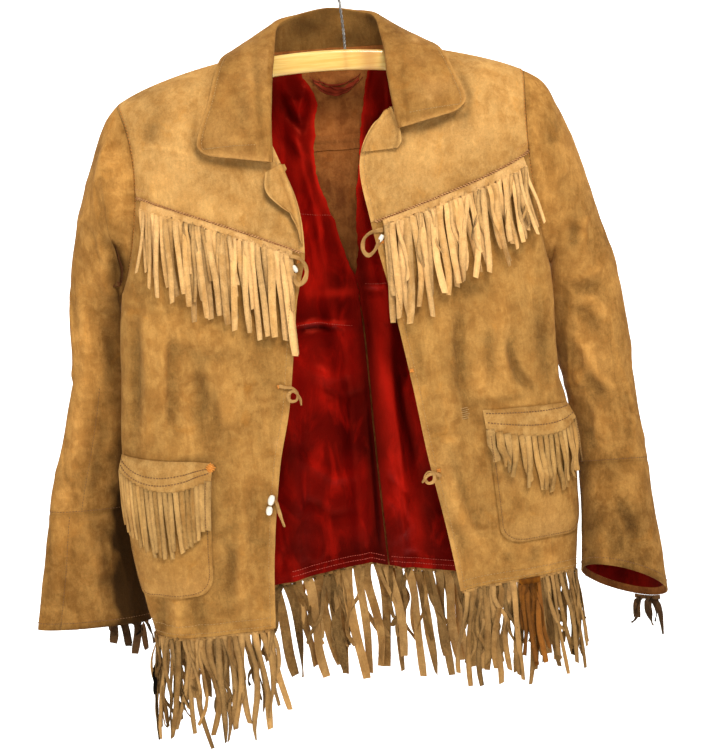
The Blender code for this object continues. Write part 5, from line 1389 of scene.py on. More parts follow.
def make_pocket_fringe(side):
    """A pocket's fringe: an uncut band with a curved lower edge, and close strands below it."""
    pocket, cut = POCKETS[side], POCKET_STRANDS[side]
    chance = random.Random(cut.seed)
    cloth = Cloth()
    across = np.linspace(0, 1, cut.count + 1)
    t = pocket.near + (min(pocket.far, FRINGE_END) - pocket.near) * across
    top = band_tops(side, across)
    uncut = top + BAND_TALL + {RIGHT: 15.0 * np.sin(math.pi * across ** 0.8) + 1.0,
                               LEFT: 13.0 * np.sin(math.pi * across) ** 0.7 + 2.0}[side]
    lift = STRAND_GAP + 3.0
    low = over_front(side, t, uncut, lift)
    inward = -front_normal(side, t, top)
    edges = [over_front(side, t, top, RAISED + THONG), over_front(side, t, top + BAND_TALL, lift), low]
    strip_mesh(cloth, edges, inward, THONG)
    s = np.linspace(0, 1, 9)
    for k in range(cut.count):
        length = float(smooth(THIRDS, cut.lengths, k / (cut.count - 1))) * chance.uniform(0.93, 1.04)
        stray = chance.uniform(-1, 1) * cut.stray * s ** 1.4
        path = over_front(side, (t[k] + t[k + 1]) / 2 + stray / FRONT_WIDE,
                          (uncut[k] + uncut[k + 1]) / 2 - 1.2 + length * s,
                          lift + 0.7 * (k % 2) * s + chance.uniform(0.0, 0.5))
        run = low[k + 1] - low[k]
        tone, stain = chance.uniform(-0.42, 0.22), 0.06 * chance.random()
        swing = cut.swing * chance.uniform(0.3, 1.2)
        strand_mesh(cloth, path, unit(run), -unit(inward[k]), float(np.linalg.norm(run)) * 0.95, THONG * 0.8,
                    chance, cut.twist, tone, stain, swing)
    dress(cloth.piece(f"pocket_fringe_{side}_cloth", SUEDE_BAND), "suede_light", "pocket_fringe_" + side)


TANGLED = {
    RIGHT: Hang(0.88, 1.6, 8.0, 14.0, 26, (3.6, 5.2), (-3.0, 7.0), 0.22),
    LEFT: Hang(0.90, 1.5, 6.5, 12.0, 32, (3.6, 5.4), (-3.0, 7.0), 0.22),
    # The back's strands get a lighter tone: painted light against the shade they hang in.
    "back": Hang(0.94, 1.2, 5.5, 18.0, 62, (3.8, 5.6), (-6.0, 3.0), 0.05, 0.45),
}
CUT_STRIP = 0.4        # the share of the hem's strip that is left uncut


def make_hem_fringe(kind, skin, shares, inward, cut):
    tops = skin(shares, HEM) + inward * 0.2 - UP * SEAM
    lows = tops - UP * STRIP_TALL * CUT_STRIP
    strands = hang(lows, inward, cut, HEM_LAYER)
    for steps in strands:
        steps[0] = steps[0] - UP * STRIP_TALL * (1 - CUT_STRIP)
    fringe_piece("hem_fringe_" + kind, SUEDE_HEM, "suede", cut, tops, lows, inward, strands, TANGLED[kind])


def make_hem_fringes():
    for side in SIDES:
        shares = np.linspace(0.01, 0.93, HEM_CUT[side].count + 1)
        make_hem_fringe(side, partial(front_skin, side), shares, unit(-front_normal(side, shares, HEM) * LEVEL),
                        HEM_CUT[side])
    shares = np.linspace(-0.93, 0.93, BACK_CUT.count + 1)
    run = back_skin(shares + 0.01, HEM) - back_skin(shares - 0.01, HEM)
    inward = unit(np.stack([run[:, 1], -run[:, 0], 0 * shares], -1))
    make_hem_fringe("back", back_skin, shares, inward, BACK_CUT)
    shares = np.linspace(0.31, 0.43, ORANGE_CUT.count + 1)
    inward = unit(-front_normal(LEFT, shares, HEM) * LEVEL)
    tops = front_skin(LEFT, shares, HEM) - inward * (THONG + SEAM + 0.2) - UP * SEAM
    lows = tops - UP * STRIP_TALL
    strands = hang(lows, inward, ORANGE_CUT, 3.0)
    strands = [[shift + FORWARD * HEM_LAYER / 2 for shift in steps] for steps in strands]
    fringe_piece("hem_fringe_orange", SUEDE_ORANGE, "orange", ORANGE_CUT, tops, lows, inward, strands,
                 Hang(1.0, 1.2, 3.0, 7.0, 7, (3.6, 5.0), (-3.4, -1.4), 0.25))


def make_cuff_fringe(side):
    cut, row = CUFF_CUT[side], CUFF[side][-1]
    edge = arm_ring(row, np.linspace(*CUFF_ENDS[side], cut.count + 1))
    inward = unit((arm_ring(row, 0) + arm_ring(row, 180)) / 2 - edge)
    tops = edge + inward * 0.2 - UP * (SEAM + 0.7)
    lows = tops - UP * STRIP_TALL * 0.6
    fringe_piece("cuff_fringe_" + side, SUEDE_SHADED, "suede_dark", cut, tops, lows, inward,
                 hang(lows, inward, cut, 3.0), Hang(0.85, 2.2, 3.0, 5.0, 2, (2.4, 3.6), (-1.0, 2.0), 0.2))


# ---------------------------------------------------------------- lining

LINING_HEM = 568.0
TEAR_WIDE = 150.0      # about half a row of the lining, for its torn edge told in shares


def lining_line(x, down):
    """The lining's seen side, and its way towards the front."""
    point, normal = back_at(x, down)
    depth = SUEDE + LINING_GAP + SATIN + folds(LINING_FOLDS, x, point[..., 2])
    return point - normal * depth[..., None], -normal


LINING_CREASES = lines(
    (5, 2.6, -70, -118, -60, -140, -52, -152, -42, -132, -38, -112),
    (5, -2.4, -70, -134, -60, -158, -50, -170, -40, -150), (4, 1.8, -66, -170, -52, -196, -42, -210),
    (5, -2.4, -3, -291, 4, -388, -4, -518, -6, -657), (2.6, 2.0, -74, -377, -48, -375, -26, -381, -8, -384),
    (3.0, -1.8, -74, -384, -48, -382, -26, -388), (5, 1.8, -60, -150, -54, -200, -40, -262, -34, -330),
    (5, -1.8, -52, -170, -44, -226, -30, -290), (4, 1.6, -36, -160, -32, -226, -20, -262),
    (5, 1.4, -64, -240, -50, -290, -44, -360), (6, 1.6, -70, -420, -40, -436, -10, -430),
    (5, -1.6, -62, -440, -30, -462, 0, -450), (6, 1.4, -80, -520, -44, -548, -10, -540),
    (6, -1.4, -84, -560, -50, -590, -20, -585), (6, 2.4, 16, -400, 22, -470, 30, -540, 40, -600),
    (5, -2.0, 28, -400, 36, -480, 48, -560), (5, 2.0, 17, -496, 21, -551, 35, -597, 34, -641),
    (4, 1.8, 11, -573, 21, -585, 26, -607, 14, -623), (4, -1.6, 10, -545, 24, -560, 30, -580),
    (4, 1.4, 4, -339, 26, -340), (4, -1.4, 2, -346, 28, -348), (5, 1.5, 6, -240, 10, -300, 22, -380),
)
# Painted highlights (amount below 0) and painted shade (above 0) on the lining's satin folds.
LINING_SHEEN_AND_SHADE = rows(Spot,
    (-62, -190, 8, 36, 0.25), (-45, -205, 7, 22, -0.2), (-36, -250, 6, 30, -0.22),
    (-40, -420, 26, 40, -0.1), (-56, -377, 28, 2.4, -0.45), (-50, -382, 30, 2.6, 0.4),
    (22, -500, 12, 50, -0.3), (34, -560, 14, 44, -0.22), (17, -430, 9, 40, -0.2), (56, -560, 10, 60, 0.55),
    (10, -300, 6, 60, -0.16), (-66, -300, 6, 80, 0.35), (-90, -500, 8, 90, 0.3), (30, -200, 6, 40, 0.35),
    (8, -460, 9, 60, -0.35), (24, -420, 8, 30, -0.35), (40, -600, 9, 34, -0.4), (-56, -210, 7, 20, -0.4),
    (-44, -330, 16, 26, -0.22), (-70, -470, 14, 60, 0.16),
)


def make_back_lining(side):
    """Each half of the torn lining, its torn edge ragged, its hem turned up."""
    sign, lowest = OUTWARD[side], TEAR[-1].down
    downs = spread(*[row.down for row in TEAR], step=3.2)
    tear_x = read(TEAR, side + "_x", downs)
    side_x = back_skin(sign * 0.82, downs)[..., :1]
    share = np.linspace(0, 1, 84) ** 1.1
    torn = step_up((310 - downs) / 60)[:, None]
    ragged = noise_at(sign * 40, downs, 7, 81) * 1.6 + noise_at(sign * 40, downs, 2.6, 82) * 0.8
    x = tear_x + (side_x - tear_x) * share + ragged[:, None] * torn * bell(share * TEAR_WIDE, 6.0)
    reach = np.where(downs > SKIRT, SKIRT + (downs - SKIRT) * (HEM - 1.0 - SKIRT) / (lowest - SKIRT), downs)
    down = np.broadcast_to(reach[:, None], x.shape)
    skin, front = lining_line(x, down)
    relief = LINING_BOOST * creases(LINING_CREASES, skin[..., 0], skin[..., 2]) + noise(skin, 26, 83) * 1.2
    relief += noise(skin * np.array([1.0, 1.0, 0.5]), 9, 84) * 0.45 + wrinkles(skin, 21, 80) * 0.8
    relief = relief * step_up(share / 0.04) + 0.5 * (down > LINING_HEM) - 0.5 * bell(down - LINING_HEM, 1.6)
    curl = bell(share * TEAR_WIDE, 4.0) * torn
    relief += curl * (1.0 + 1.2 * noise_at(sign * 40, downs, 20, 85)[:, None])
    outer = skin + front * relief[..., None]
    inward = inward_of(outer, -sign)
    inward = inward * (1 if float(np.mean(np.sum(inward * front, -1))) < 0 else -1)
    outer[-1, :, 2] += noise_at(x[-1], 0.0, 12, 86) * 0.8
    # Painted shade in the folds' valleys, at the side edge and in the hem's dip; painted highlight on the
    # ridges.
    shade = np.clip(relief / 2.4, -1.0, 1.0) * 0.75 + noise(skin, 44, 87) * 0.30
    shade -= 0.6 * bell(share - 1, 0.25) + 0.25 * bell(down - LINING_HEM, 2.5)
    # The spots paint highlight and shade on the satin's folds.
    stain, pale = spots(LINING_SHEEN_AND_SHADE, skin)
    pale = pale + 0.45 * curl + 0.5 * np.exp(-((x + 22) / 26) ** 2 - ((down - 262) / 5) ** 2)
    # Painted shade in the gap between the halves and at the top under the bar; the right half darker low down.
    stain = stain + 0.80 * bell(x - 1, 8) * step_up((downs - 170) / 60)[:, None]
    stain += (0.16 * (side == RIGHT) * step_up((downs - 380) / 60) + 0.22 * step_up((120 - downs) / 60)
              + 0.34 * step_up((64 - downs) / 36))[:, None]
    shell("lining_back_cloth_" + side, "satin", ["lining_back_" + side], outer, inward, SATIN * 0.6,
          [SATIN_RED, SATIN_RED], shade=shade, pale=pale, stain=stain)


def make_cuff_lining(side):
    place, angle = np.meshgrid(len(SLEEVE[side]) + 1 + np.linspace(1.6, 2.9, 26),
                               np.linspace(0, 360, 110, endpoint=False), indexing="ij")
    skin = arm_skin(side, place, angle)
    inward = inward_of(skin, OUTWARD[side], wrap=True)
    skin = skin + inward * (SUEDE + 0.9)
    relief = noise(skin, 12, 91) * 0.5 - 0.4
    # The lining is darkened all over: painted shade inside the cuff.
    shell("lining_cuff_cloth_" + side, "satin", ["lining_cuff_" + side],
          skin + inward * (SATIN * 0.7 - relief[..., None]), -inward, SATIN * 0.6, [SATIN_RED, SATIN_RED],
          wrap=True, shade=noise(skin, 20, 92) * 0.4, stain=0.60)


# Torn shreds of the lining's neck, over the bare suede under the bar: from x to x, their depth at the
# ends, how far they sag, how wide they are, and how far they stand off.
Scrap = namedtuple("Scrap", "start end down sag wide off")
SCRAPS = rows(Scrap,
    (-34, 15, 36, 13.0, 9.0, 0.2), (-37, 17, 31, 11.5, 2.2, 1.3), (-33, 13, 38, 15.0, 2.6, 1.5),
    (-28, 19, 35, 12.0, 1.7, 1.7),
)


def make_scraps():
    share, across = np.linspace(0, 1, 60), np.linspace(-0.5, 0.5, 7)[:, None]
    for n, scrap in enumerate(SCRAPS):
        x = scrap.start + (scrap.end - scrap.start) * share
        arch = np.sin(math.pi * share)
        middle = scrap.down + scrap.sag * arch ** 0.7 + 1.3 * noise_at(share * 60, 50 * n, 8, 94)
        spans = scrap.wide * (0.8 + 0.5 * noise_at(share * 60, 50 * n, 7, 95)) * (0.35 + 0.65 * arch ** 0.5)
        point, normal = back_at(x[None], middle + across * spans)
        lift = SUEDE + 1.0 + scrap.off + 0.7 * np.cos(across * math.pi) + 0.4 * noise(point, 6, 97)
        inner = point - normal * lift[..., None]
        inward = inward_of(inner, -1.0)
        inward = inward * np.sign(np.sum(inward[3, 30] * normal[3, 30]))
        shell(f"lining_scrap_{n + 1}", "satin", [], inner, inward, 0.6, [SATIN_WORN],
              shade=0.4 * np.cos(across * math.pi) - 0.3 + 0.8 * noise(point, 6, 98))


# ---------------------------------------------------------------- ties, beads and hanger

# Each thong as it is seen: its half width and half thickness, and its way from the front's edge.
THONGS = {
    "tie_right_top": (RIGHT, 2.3, 0.65, [
        (-78, -298, 0), (-70, -297, 1.5), (-62.5, -299, 2.5), (-56.5, -304.5, 3.5), (-54.5, -313, 4.0),
        (-57, -321.5, 4.5), (-63, -326, 5.0), (-67, -321, 6.2), (-66, -314, 6.8)]),
    "tie_right_mid": (RIGHT, 1.7, 0.6, [
        (-92, -428, 0), (-86, -430, 1.5), (-79, -431, 3.0), (-74, -436, 4.0), (-75, -443, 5.0),
        (-81, -444, 5.0), (-84, -438, 4.6), (-78, -434, 5.4), (-72, -441, 4.6), (-71, -449, 4.0)]),
    "tie_right_low": (RIGHT, 1.9, 0.6, [
        (-112, -551, 1.5), (-107.5, -546, 3.4), (-104.5, -548, 4.2), (-103, -556, 4.0), (-101, -565, 3.4),
        (-98.5, -574, 3.0)]),
    "tie_left_top": (LEFT, 2.2, 0.65, [
        (26, -278, 0), (20, -278, 1.8), (12, -280, 2.8), (5.5, -286, 3.6), (4.0, -296, 4.2),
        (9.0, -302, 4.8), (16, -297, 5.6), (21, -287, 6.4)]),
    "tie_left_low": (LEFT, 1.7, 0.6, [
        (66, -534, 0), (60, -530, 2.0), (53, -528, 3.4), (49, -533, 4.2), (52, -539, 5.0), (58, -537, 5.4),
        (58, -530, 5.0), (52, -531, 5.8), (46, -538, 5.0)]),
}


def make_tie(name):
    """A closing thong: a flat cut lace sewn at its root and curled on itself, or knotted."""
    side, half_wide, half_thick, places = THONGS[name]
    at = np.linspace(0, len(places) - 1, 64)
    x, z, off = through(places, at).T
    base = front_at(side, places[0][0], places[0][1], RAISED)[1]
    path = np.stack([x, base - half_thick - off, z], -1)
    turn = (0.9 * np.sin(np.linspace(0, 5.0, 64)) * step_up(at / 2))[:, None]
    tangent = unit(np.gradient(path, axis=0))
    across = unit(np.cross(tangent, FORWARD))
    face = np.cross(across, tangent)
    wide, high = across * np.cos(turn) + face * np.sin(turn), face * np.cos(turn) - across * np.sin(turn)
    ring_w, ring_h = rounded(12, 0.6)
    wide_by = half_wide * (1 + 0.10 * np.sin(at * 4.1))
    wide_by[-3:] *= (0.92, 0.75, 0.5)
    verts = (path[:, None] + wide[:, None] * (wide_by[:, None] * ring_w)[..., None]
             + high[:, None] * (half_thick * ring_h)[None, :, None])
    flow = np.cross(verts[1, 1] - verts[1, 0], verts[2, 0] - verts[1, 0])
    faces = flipped(capped(64, 12), float(flow @ (verts[1, 0] - path[1])) < 0)
    flat = verts.reshape(-1, 3)
    cloth = Cloth()
    cloth.add(flat, faces, shade=0.2 * noise(flat, 5.0, 5), pale=0.25)
    dress(cloth.piece(name + "_thong", SUEDE_HEM), "suede_light", name)


def rounded(sides, power):
    """A closed curve between a circle and a square, as its two ways."""
    angles = np.linspace(0, 2 * math.pi, sides, endpoint=False)
    return [np.sign(way) * np.abs(way) ** power for way in (np.cos(angles), np.sin(angles))]


def make_bead(name, bead, look):
    """A bone bead: a barrel with a bored hole, turned on its thong."""
    half = [(0.28, 0.80), (0.30, 0.97), (0.42, 1.0), (0.62, 0.93), (0.86, 0.62), (0.98, 0.25)]
    profile = np.array(half + [(1.0, 0.0)] + [(r, -h) for r, h in half[::-1]])
    sides = 20
    a = 2 * math.pi * np.arange(sides) / sides
    r, h = profile[:, 0, None] * bead.half_wide, profile[:, 1, None] * bead.half_long + 0 * a
    x, y = r * np.cos(a), r * np.sin(a)
    turned = np.stack([x * math.cos(bead.lean) + h * math.sin(bead.lean), y,
                       h * math.cos(bead.lean) - x * math.sin(bead.lean)], -1)
    verts = turned + front_at(bead.side, bead.x, bead.z, bead.half_wide + RAISED)
    count = len(profile)
    faces = [(i * sides + k, (i + 1) % count * sides + k, (i + 1) % count * sides + (k + 1) % sides,
              i * sides + (k + 1) % sides) for i in range(count) for k in range(sides)]
    dress(mesh_piece(name + "_shape", verts.reshape(-1, 3), faces, [look]), "bead", name)


def bar_top(x):
    return BAR_TOP + BAR_TILT * x - BAR_BOW * x * x


def wire(cloth, path, radius, sides):
    """A round wire along a path, its ends closed and rounded."""
    count = len(path)
    radius = np.broadcast_to(radius, (count,))[:, None]
    tangent = unit(np.gradient(path, axis=0))
    side, last = [], FORWARD
    for way in tangent:
        last = unit(last - way * float(last @ way))
        side.append(last)
    side = np.array(side)
    a = np.linspace(0, 2 * math.pi, sides, endpoint=False)[None, :, None]
    ring = side[:, None] * np.cos(a) + np.cross(tangent, side)[:, None] * np.sin(a)
    verts = path[:, None] + ring * radius[..., None]
    faces, tips = loft(count, sides), count * sides
    for k in range(sides):
        n = (k + 1) % sides
        faces += [(tips, n, k), (tips + 1, (count - 1) * sides + k, (count - 1) * sides + n)]
    flow = np.cross(verts[0, 1] - verts[0, 0], verts[1, 0] - verts[0, 0])
    flat = np.concatenate([verts.reshape(-1, 3), [path[0] - tangent[0] * radius[0] * 0.5],
                           [path[-1] + tangent[-1] * radius[-1] * 0.5]])
    cloth.add(flat, flipped(faces, float(flow @ (verts[0, 0] - path[0])) < 0), shade=0.2 * noise(flat, 3.0, 5))


def make_hanger():
    """The bar, bowed and softly rounded, and its wire: two wires twisted for a stem, and the crook."""
    end = np.linspace(BAR_HALF - 8, BAR_HALF, 9)
    xs = np.concatenate([-end[::-1], np.linspace(-BAR_HALF + 10, BAR_HALF - 10, 90), end])
    sides, middle = 40, -BAR_TALL / 2
    y, z = rounded(sides, 0.55)
    edge = BAR_HALF - np.abs(xs)
    slim = np.sqrt(np.clip(1 - (1 - np.clip(edge / 9.0, 0, 1)) ** 2, 0.02, 1))
    slim = (slim * np.where(edge < 26, 0.86 + 0.14 * step_up(edge / 26), 1))[:, None]
    verts = np.stack([np.broadcast_to(xs[:, None], (len(xs), sides)), y * BAR_THICK / 2 * slim,
                      bar_top(xs)[:, None] + middle + z * BAR_TALL / 2 * slim], -1)
    faces = grid_faces(len(xs), sides, True, 0, False)
    faces += [tuple(range(sides)), tuple((len(xs) - 1) * sides + k for k in range(sides - 1, -1, -1))]
    flow = np.cross(verts[51, 0] - verts[50, 0], verts[50, 1] - verts[50, 0])
    out = verts[50, 0] - np.array([xs[50], 0, bar_top(xs[50]) + middle])
    stain = (0.9 * bell(xs - 26, 10) + 0.5 * bell(xs - 2, 3))[:, None] + 0 * verts[..., 0]
    faces = flipped(faces, float(flow @ out) < 0)
    dress(mesh_piece("hanger_bar_wood", verts.reshape(-1, 3), faces, [wood_look()], stain=stain), "wood",
          "hanger_bar")
    cloth, along = Cloth(), np.linspace(0, 1, 60)
    stem = np.array([(2, 0, bar_top(2) + SEAM), (1.5, 0, -70.0), (0.0, 0, -46.0)])
    line = smooth([0, 0.55, 1], stem, along)
    for half in (0, math.pi):
        turn = along * 2 * math.pi * 5.5 + half
        spin = 0.78 * step_up((1 - along) / 0.1) * np.array([np.cos(turn), np.sin(turn), 0 * turn])
        wire(cloth, line + spin.T, WIRE * 0.30 + WIRE * 0.16 * step_up((along - 0.86) / 0.14), 10)
    a = np.radians(250 - 17 * np.arange(15))
    crook = CROOK_RADIUS * np.stack([np.cos(a), 0 * a, np.sin(a) - 1], -1)
    wire(cloth, through([stem[-1] - UP, stem[-1], *crook], np.linspace(0, len(crook) + 1, 110)), WIRE / 2, 14)
    dress(cloth.piece("hanger_hook_wire", wire_look()), "wire", "hanger_hook")


# ---------------------------------------------------------------- stage, lights, camera

def make_stage():
    """A pale floor that curves up into a pale backdrop, well behind the jacket."""
    bend = [(2.5 + 0.5 * math.sin(a), -0.80 - 0.5 * math.cos(a)) for a in np.radians(np.linspace(0, 90, 20))]
    profile = [(-4.2, -1.30), *bend, (3.0, 3.6)]
    verts = [(x / MM, y / MM, z / MM) for y, z in profile for x in np.linspace(-3.5, 3.5, 8)]
    faces = [(i + k, i + k + 1, i + k + 9, i + k + 8)
             for i in range(0, 8 * (len(profile) - 1), 8) for k in range(7)]
    mesh_piece("backdrop", verts, faces, [stage_look("backdrop", (0.96, 0.96, 0.955), 0.55)])


def area(name, place, aim, size, watts, colour):
    light = bpy.data.lights.new(name, "AREA")
    light.shape = "RECTANGLE"
    light.size, light.size_y = size
    light.energy = watts
    light.color = colour
    lamp = bpy.data.objects.new(name, light)
    lamp.location = place
    lamp.rotation_euler = (Vector(aim) - Vector(place)).to_track_quat("-Z", "Y").to_euler()
    bpy.context.scene.collection.objects.link(lamp)


def make_lights():
    world = bpy.data.worlds.new("studio")
    bpy.context.scene.world = world
    world.use_nodes = True
    sky = world.node_tree.nodes["Background"]
    sky.inputs["Color"].default_value = (1.0, 0.985, 0.96, 1.0)
    sky.inputs["Strength"].default_value = 0.50
    area("key", (0.55, -1.5, 1.15), (-0.02, 0, -0.40), (0.9, 0.7), 41.0, (1.0, 0.975, 0.93))
    area("fill", (-1.4, -1.5, 0.1), (-0.02, 0, -0.45), (1.2, 1.4), 9.0, (1.0, 0.98, 0.95))
    area("back", (0.0, 2.2, 1.5), (0.0, 3.0, -0.5), (2.6, 1.2), 40.0, (1.0, 1.0, 1.0))


PIXEL, CAMERA_FAR, PHOTO_TALL = 0.00105, 1.8, 756
CAMERA_AIM, CAMERA_DOWN, CAMERA_ROLL = (-0.01575, 0.0, -0.433), math.radians(8.0), math.radians(4.5)


def make_camera():
    ahead = Vector((0, math.cos(CAMERA_DOWN), -math.sin(CAMERA_DOWN)))
    level, upright = Vector((1, 0, 0)), Vector((0, math.sin(CAMERA_DOWN), math.cos(CAMERA_DOWN)))
    right = level * math.cos(CAMERA_ROLL) - upright * math.sin(CAMERA_ROLL)
    up = upright * math.cos(CAMERA_ROLL) + level * math.sin(CAMERA_ROLL)
    lens = bpy.data.cameras.new("camera")
    lens.sensor_fit = "VERTICAL"
    lens.sensor_height = 36.0
    lens.lens = 36.0 * CAMERA_FAR / (PHOTO_TALL * PIXEL)
    lens.clip_start, lens.clip_end = 0.05, 20.0
    camera = bpy.data.objects.new("camera", lens)
    place = Vector(CAMERA_AIM) - ahead * CAMERA_FAR
    camera.matrix_world = Matrix((*zip(right, up, -ahead, place), (0, 0, 0, 1)))
    bpy.context.scene.collection.objects.link(camera)
    bpy.context.scene.camera = camera
    bpy.context.scene.view_settings.view_transform = "Standard"


# ---------------------------------------------------------------- sewing

def surface(*names):
    """The shown cloth of some pieces, for stitches to lie on."""
    verts, faces = [], []
    for name in names:
        mesh = bpy.data.objects[name].data
        flat = np.empty(len(mesh.vertices) * 3)
        mesh.vertices.foreach_get("co", flat)
        start = len(verts)
        verts += flat.reshape(-1, 3).tolist()
        faces += [[start + n for n in face.vertices] for face in mesh.polygons]
    return BVHTree.FromPolygons(verts, faces)


def lay_threads(cloth, centres, ways, outs, lengths, radius):
    """Stitches: threads that come out of the cloth, lie on it and go back in."""
    shares = np.array([-0.5, -0.38, 0.38, 0.5])
    heights = np.array([-1.2, 0.6, 0.6, -1.2])[:, None] * radius
    a = np.linspace(0, 2 * math.pi, 5, endpoint=False)[:, None]
    centres, ways, outs = (np.asarray(v, float)[:, None] for v in (centres, ways, outs))
    line = centres + ways * (shares * np.asarray(lengths)[:, None])[..., None] + outs * heights
    ring = np.cross(ways, outs) * np.cos(a) + outs * np.sin(a)
    flat = (line[:, :, None] + ring[:, None] * radius).reshape(-1, 3)
    one = grid_faces(4, 5, True, 0, True) + [list(range(5)), list(range(19, 14, -1))]
    faces = [[start + n for n in face] for start in range(0, len(flat), 20) for face in one]
    cloth.add(flat, faces, shade=0.2 * noise(flat, 9.0, 6))


def sew(cloth, tree, line, outward, pitch, length, radius, slant, seed):
    """A row of stitches along a line of points over the cloth."""
    chance = random.Random(seed)
    line, outward = grids(line, outward)
    far = np.concatenate([[0], np.cumsum(np.linalg.norm(np.diff(line, axis=0), axis=1))])
    stops = np.arange(pitch / 2, far[-1], pitch)
    held = [np.stack([np.interp(stops, far, values[:, n]) for n in range(3)], -1)
            for values in (line, outward, np.gradient(line, axis=0))]
    laid = []
    for place, out, way in zip(*held):
        out = out / np.linalg.norm(out)
        spot, normal = tree.ray_cast(Vector((place + out * 14) * MM), Vector(-out), 30 * MM)[:2]
        if spot is None:
            continue
        normal = np.array(normal)
        normal = normal if normal @ out > 0 else -normal
        if normal @ out < 0.4:
            continue
        way = unit(way - normal * (way @ normal))
        turn = slant + chance.uniform(-0.10, 0.10)
        laid.append((np.array(spot) / MM, way * math.cos(turn) + np.cross(normal, way) * math.sin(turn), normal,
                     length * chance.uniform(0.86, 1.1)))
    if laid:
        lay_threads(cloth, *zip(*laid), radius)


def facing(tree, x, z):
    """The shown surface at a place seen from the front, and its normal."""
    spot, normal = tree.ray_cast(Vector((x * MM, -0.2, z * MM)), Vector((0, 1, 0)), 0.4)[:2]
    if spot is None or spot.y > 0:
        spot, normal = tree.find_nearest(Vector((x * MM, -0.055, z * MM)))[:2]
    return np.array(spot) / MM, np.array(normal) * (-1 if normal.y > 0 else 1)


def sew_on(name, look, cloth):
    dress(cloth.piece("stitches_" + name, look),
          "orange" if look in (THREAD_RUST, THREAD_PINK, THREAD_RED) else "suede_light")


# Rows of stitches on each pocket's band: how far under its top, and how far they sag at the middle.
BAND_ROWS = {RIGHT: ((4.0, 12.5), (8.5, 15.5)), LEFT: ((3.0, 2.0), (11.0, 7.0))}
# Knots of thread at the roots of ties, seen from the front, and the threads of one: way and length.
KNOTS = {RIGHT: ((-92, -429), (-62, -303)), LEFT: ((44, -423), (64, -528), (24, -290))}
KNOT_WAYS, KNOT_LENGTHS = [(0.7, 0, 0.7), (0.8, 0, -0.6), (1.0, 0, 0.1)], [5.2, 4.8, 4.2]
# The star over the right pocket's corner, and the bar of long stitches by the left one.
STAR, STAR_LENGTHS = (-169.5, -507), [11.0, 9.0, 10.0, 11.0, 9.5, 10.0]
BAR, BAR_LENGTHS = (92.5, -466.5), [12.5, 13.5, 12.0, 14.0, 12.5, 11.0]
POCKET_INSET = 3.0     # of the stitches inside a pocket's rim


def sew_front(side):
    """A front's sewing: whipped yoke, armhole, opening edge, hem, pocket and its band."""
    tree = surface(f"yoke_cloth_{side}", f"front_cloth_{side}", f"yoke_fringe_{side}_cloth",
                   f"pocket_cloth_{side}", f"pocket_fringe_{side}_cloth")
    pink, rust, pale, dark = Cloth(), Cloth(), Cloth(), Cloth()

    def row(cloth, t, down, *manner):
        t, down = grids(t, down)
        sew(cloth, tree, front_skin(side, t, down), front_normal(side, t, down), *manner)

    share = np.linspace(0.02, 0.985, 160)
    row(pink, share, YOKE_SEAM + 0.4, 3.0, 4.8, 0.85, OUTWARD[side] * -0.85, 3)
    row(pink, np.linspace(0.84, 0.985, 30), YOKE_SEAM - 9, 3.0, 2.0, 0.35, 0.0, 4)
    row(rust, 0.982, np.linspace(8, UNDERARM - 4, 160), 3.6, 2.4, 0.36, 0.5, 5)
    row(pale, 0.026, np.linspace(112, HEM - 4, 300), 3.3, 2.2, 0.30, 0.0, 6)
    for deep in (4.0, HEM_STITCH):
        row(pale, share, HEM - deep, 3.3, 2.3, 0.34, 0.0, 7)
    pocket = POCKETS[side]
    start = max(pocket.top_near, pocket.top_far) + BAND_TALL * 1.2
    downs, near, far = pocket_edge(side, np.linspace(start, pocket.low - CORNER, 60), 20)
    inner = start + (downs - start) * (pocket.low - POCKET_INSET - start) / (pocket.low - start)
    inset = POCKET_INSET / FRONT_WIDE
    row(dark, np.concatenate([near + inset, (far - inset)[::-1]]), np.concatenate([inner, inner[::-1]]),
        2.7, 1.9, 0.34, 0.0, 8)
    across = np.linspace(0.02, 0.99, 80)
    wide = min(pocket.far, FRINGE_END) - pocket.near
    for below, sag in BAND_ROWS[side]:
        row(dark, pocket.near + wide * across, band_tops(side, across) + below + sag * np.sin(math.pi * across),
            2.9, 2.1, 0.52, 0.0, 9)
    if side == RIGHT:
        place, normal = facing(tree, *STAR)
        spokes = [np.array([math.cos(a), 0.0, math.sin(a)]) for a in np.linspace(0, math.pi, 7)[:-1]]
        lay_threads(rust, [place] * 6, [unit(v - normal * (v @ normal)) for v in spokes], [normal] * 6,
                    STAR_LENGTHS, 0.75)
    else:
        places, normals = zip(*(facing(tree, BAR[0] + 0.8 * (n % 2), BAR[1] - 2.1 * n) for n in range(6)))
        lay_threads(pale, places, [unit([1.0, 0.0, 0.12])] * 6, normals, BAR_LENGTHS, 0.50)
    for x, z in KNOTS[side]:
        place, normal = facing(tree, x, z)
        lay_threads(rust, [place, place, place + np.array([0, -0.3, 0.9])], unit(KNOT_WAYS), [normal] * 3,
                    KNOT_LENGTHS, 0.95)
    sew_on("yoke_" + side, THREAD_PINK, pink)
    sew_on("armhole_" + side, THREAD_RUST, rust)
    sew_on("edge_" + side, THREAD_PALE, pale)
    sew_on("pocket_" + side, THREAD_DARK, dark)


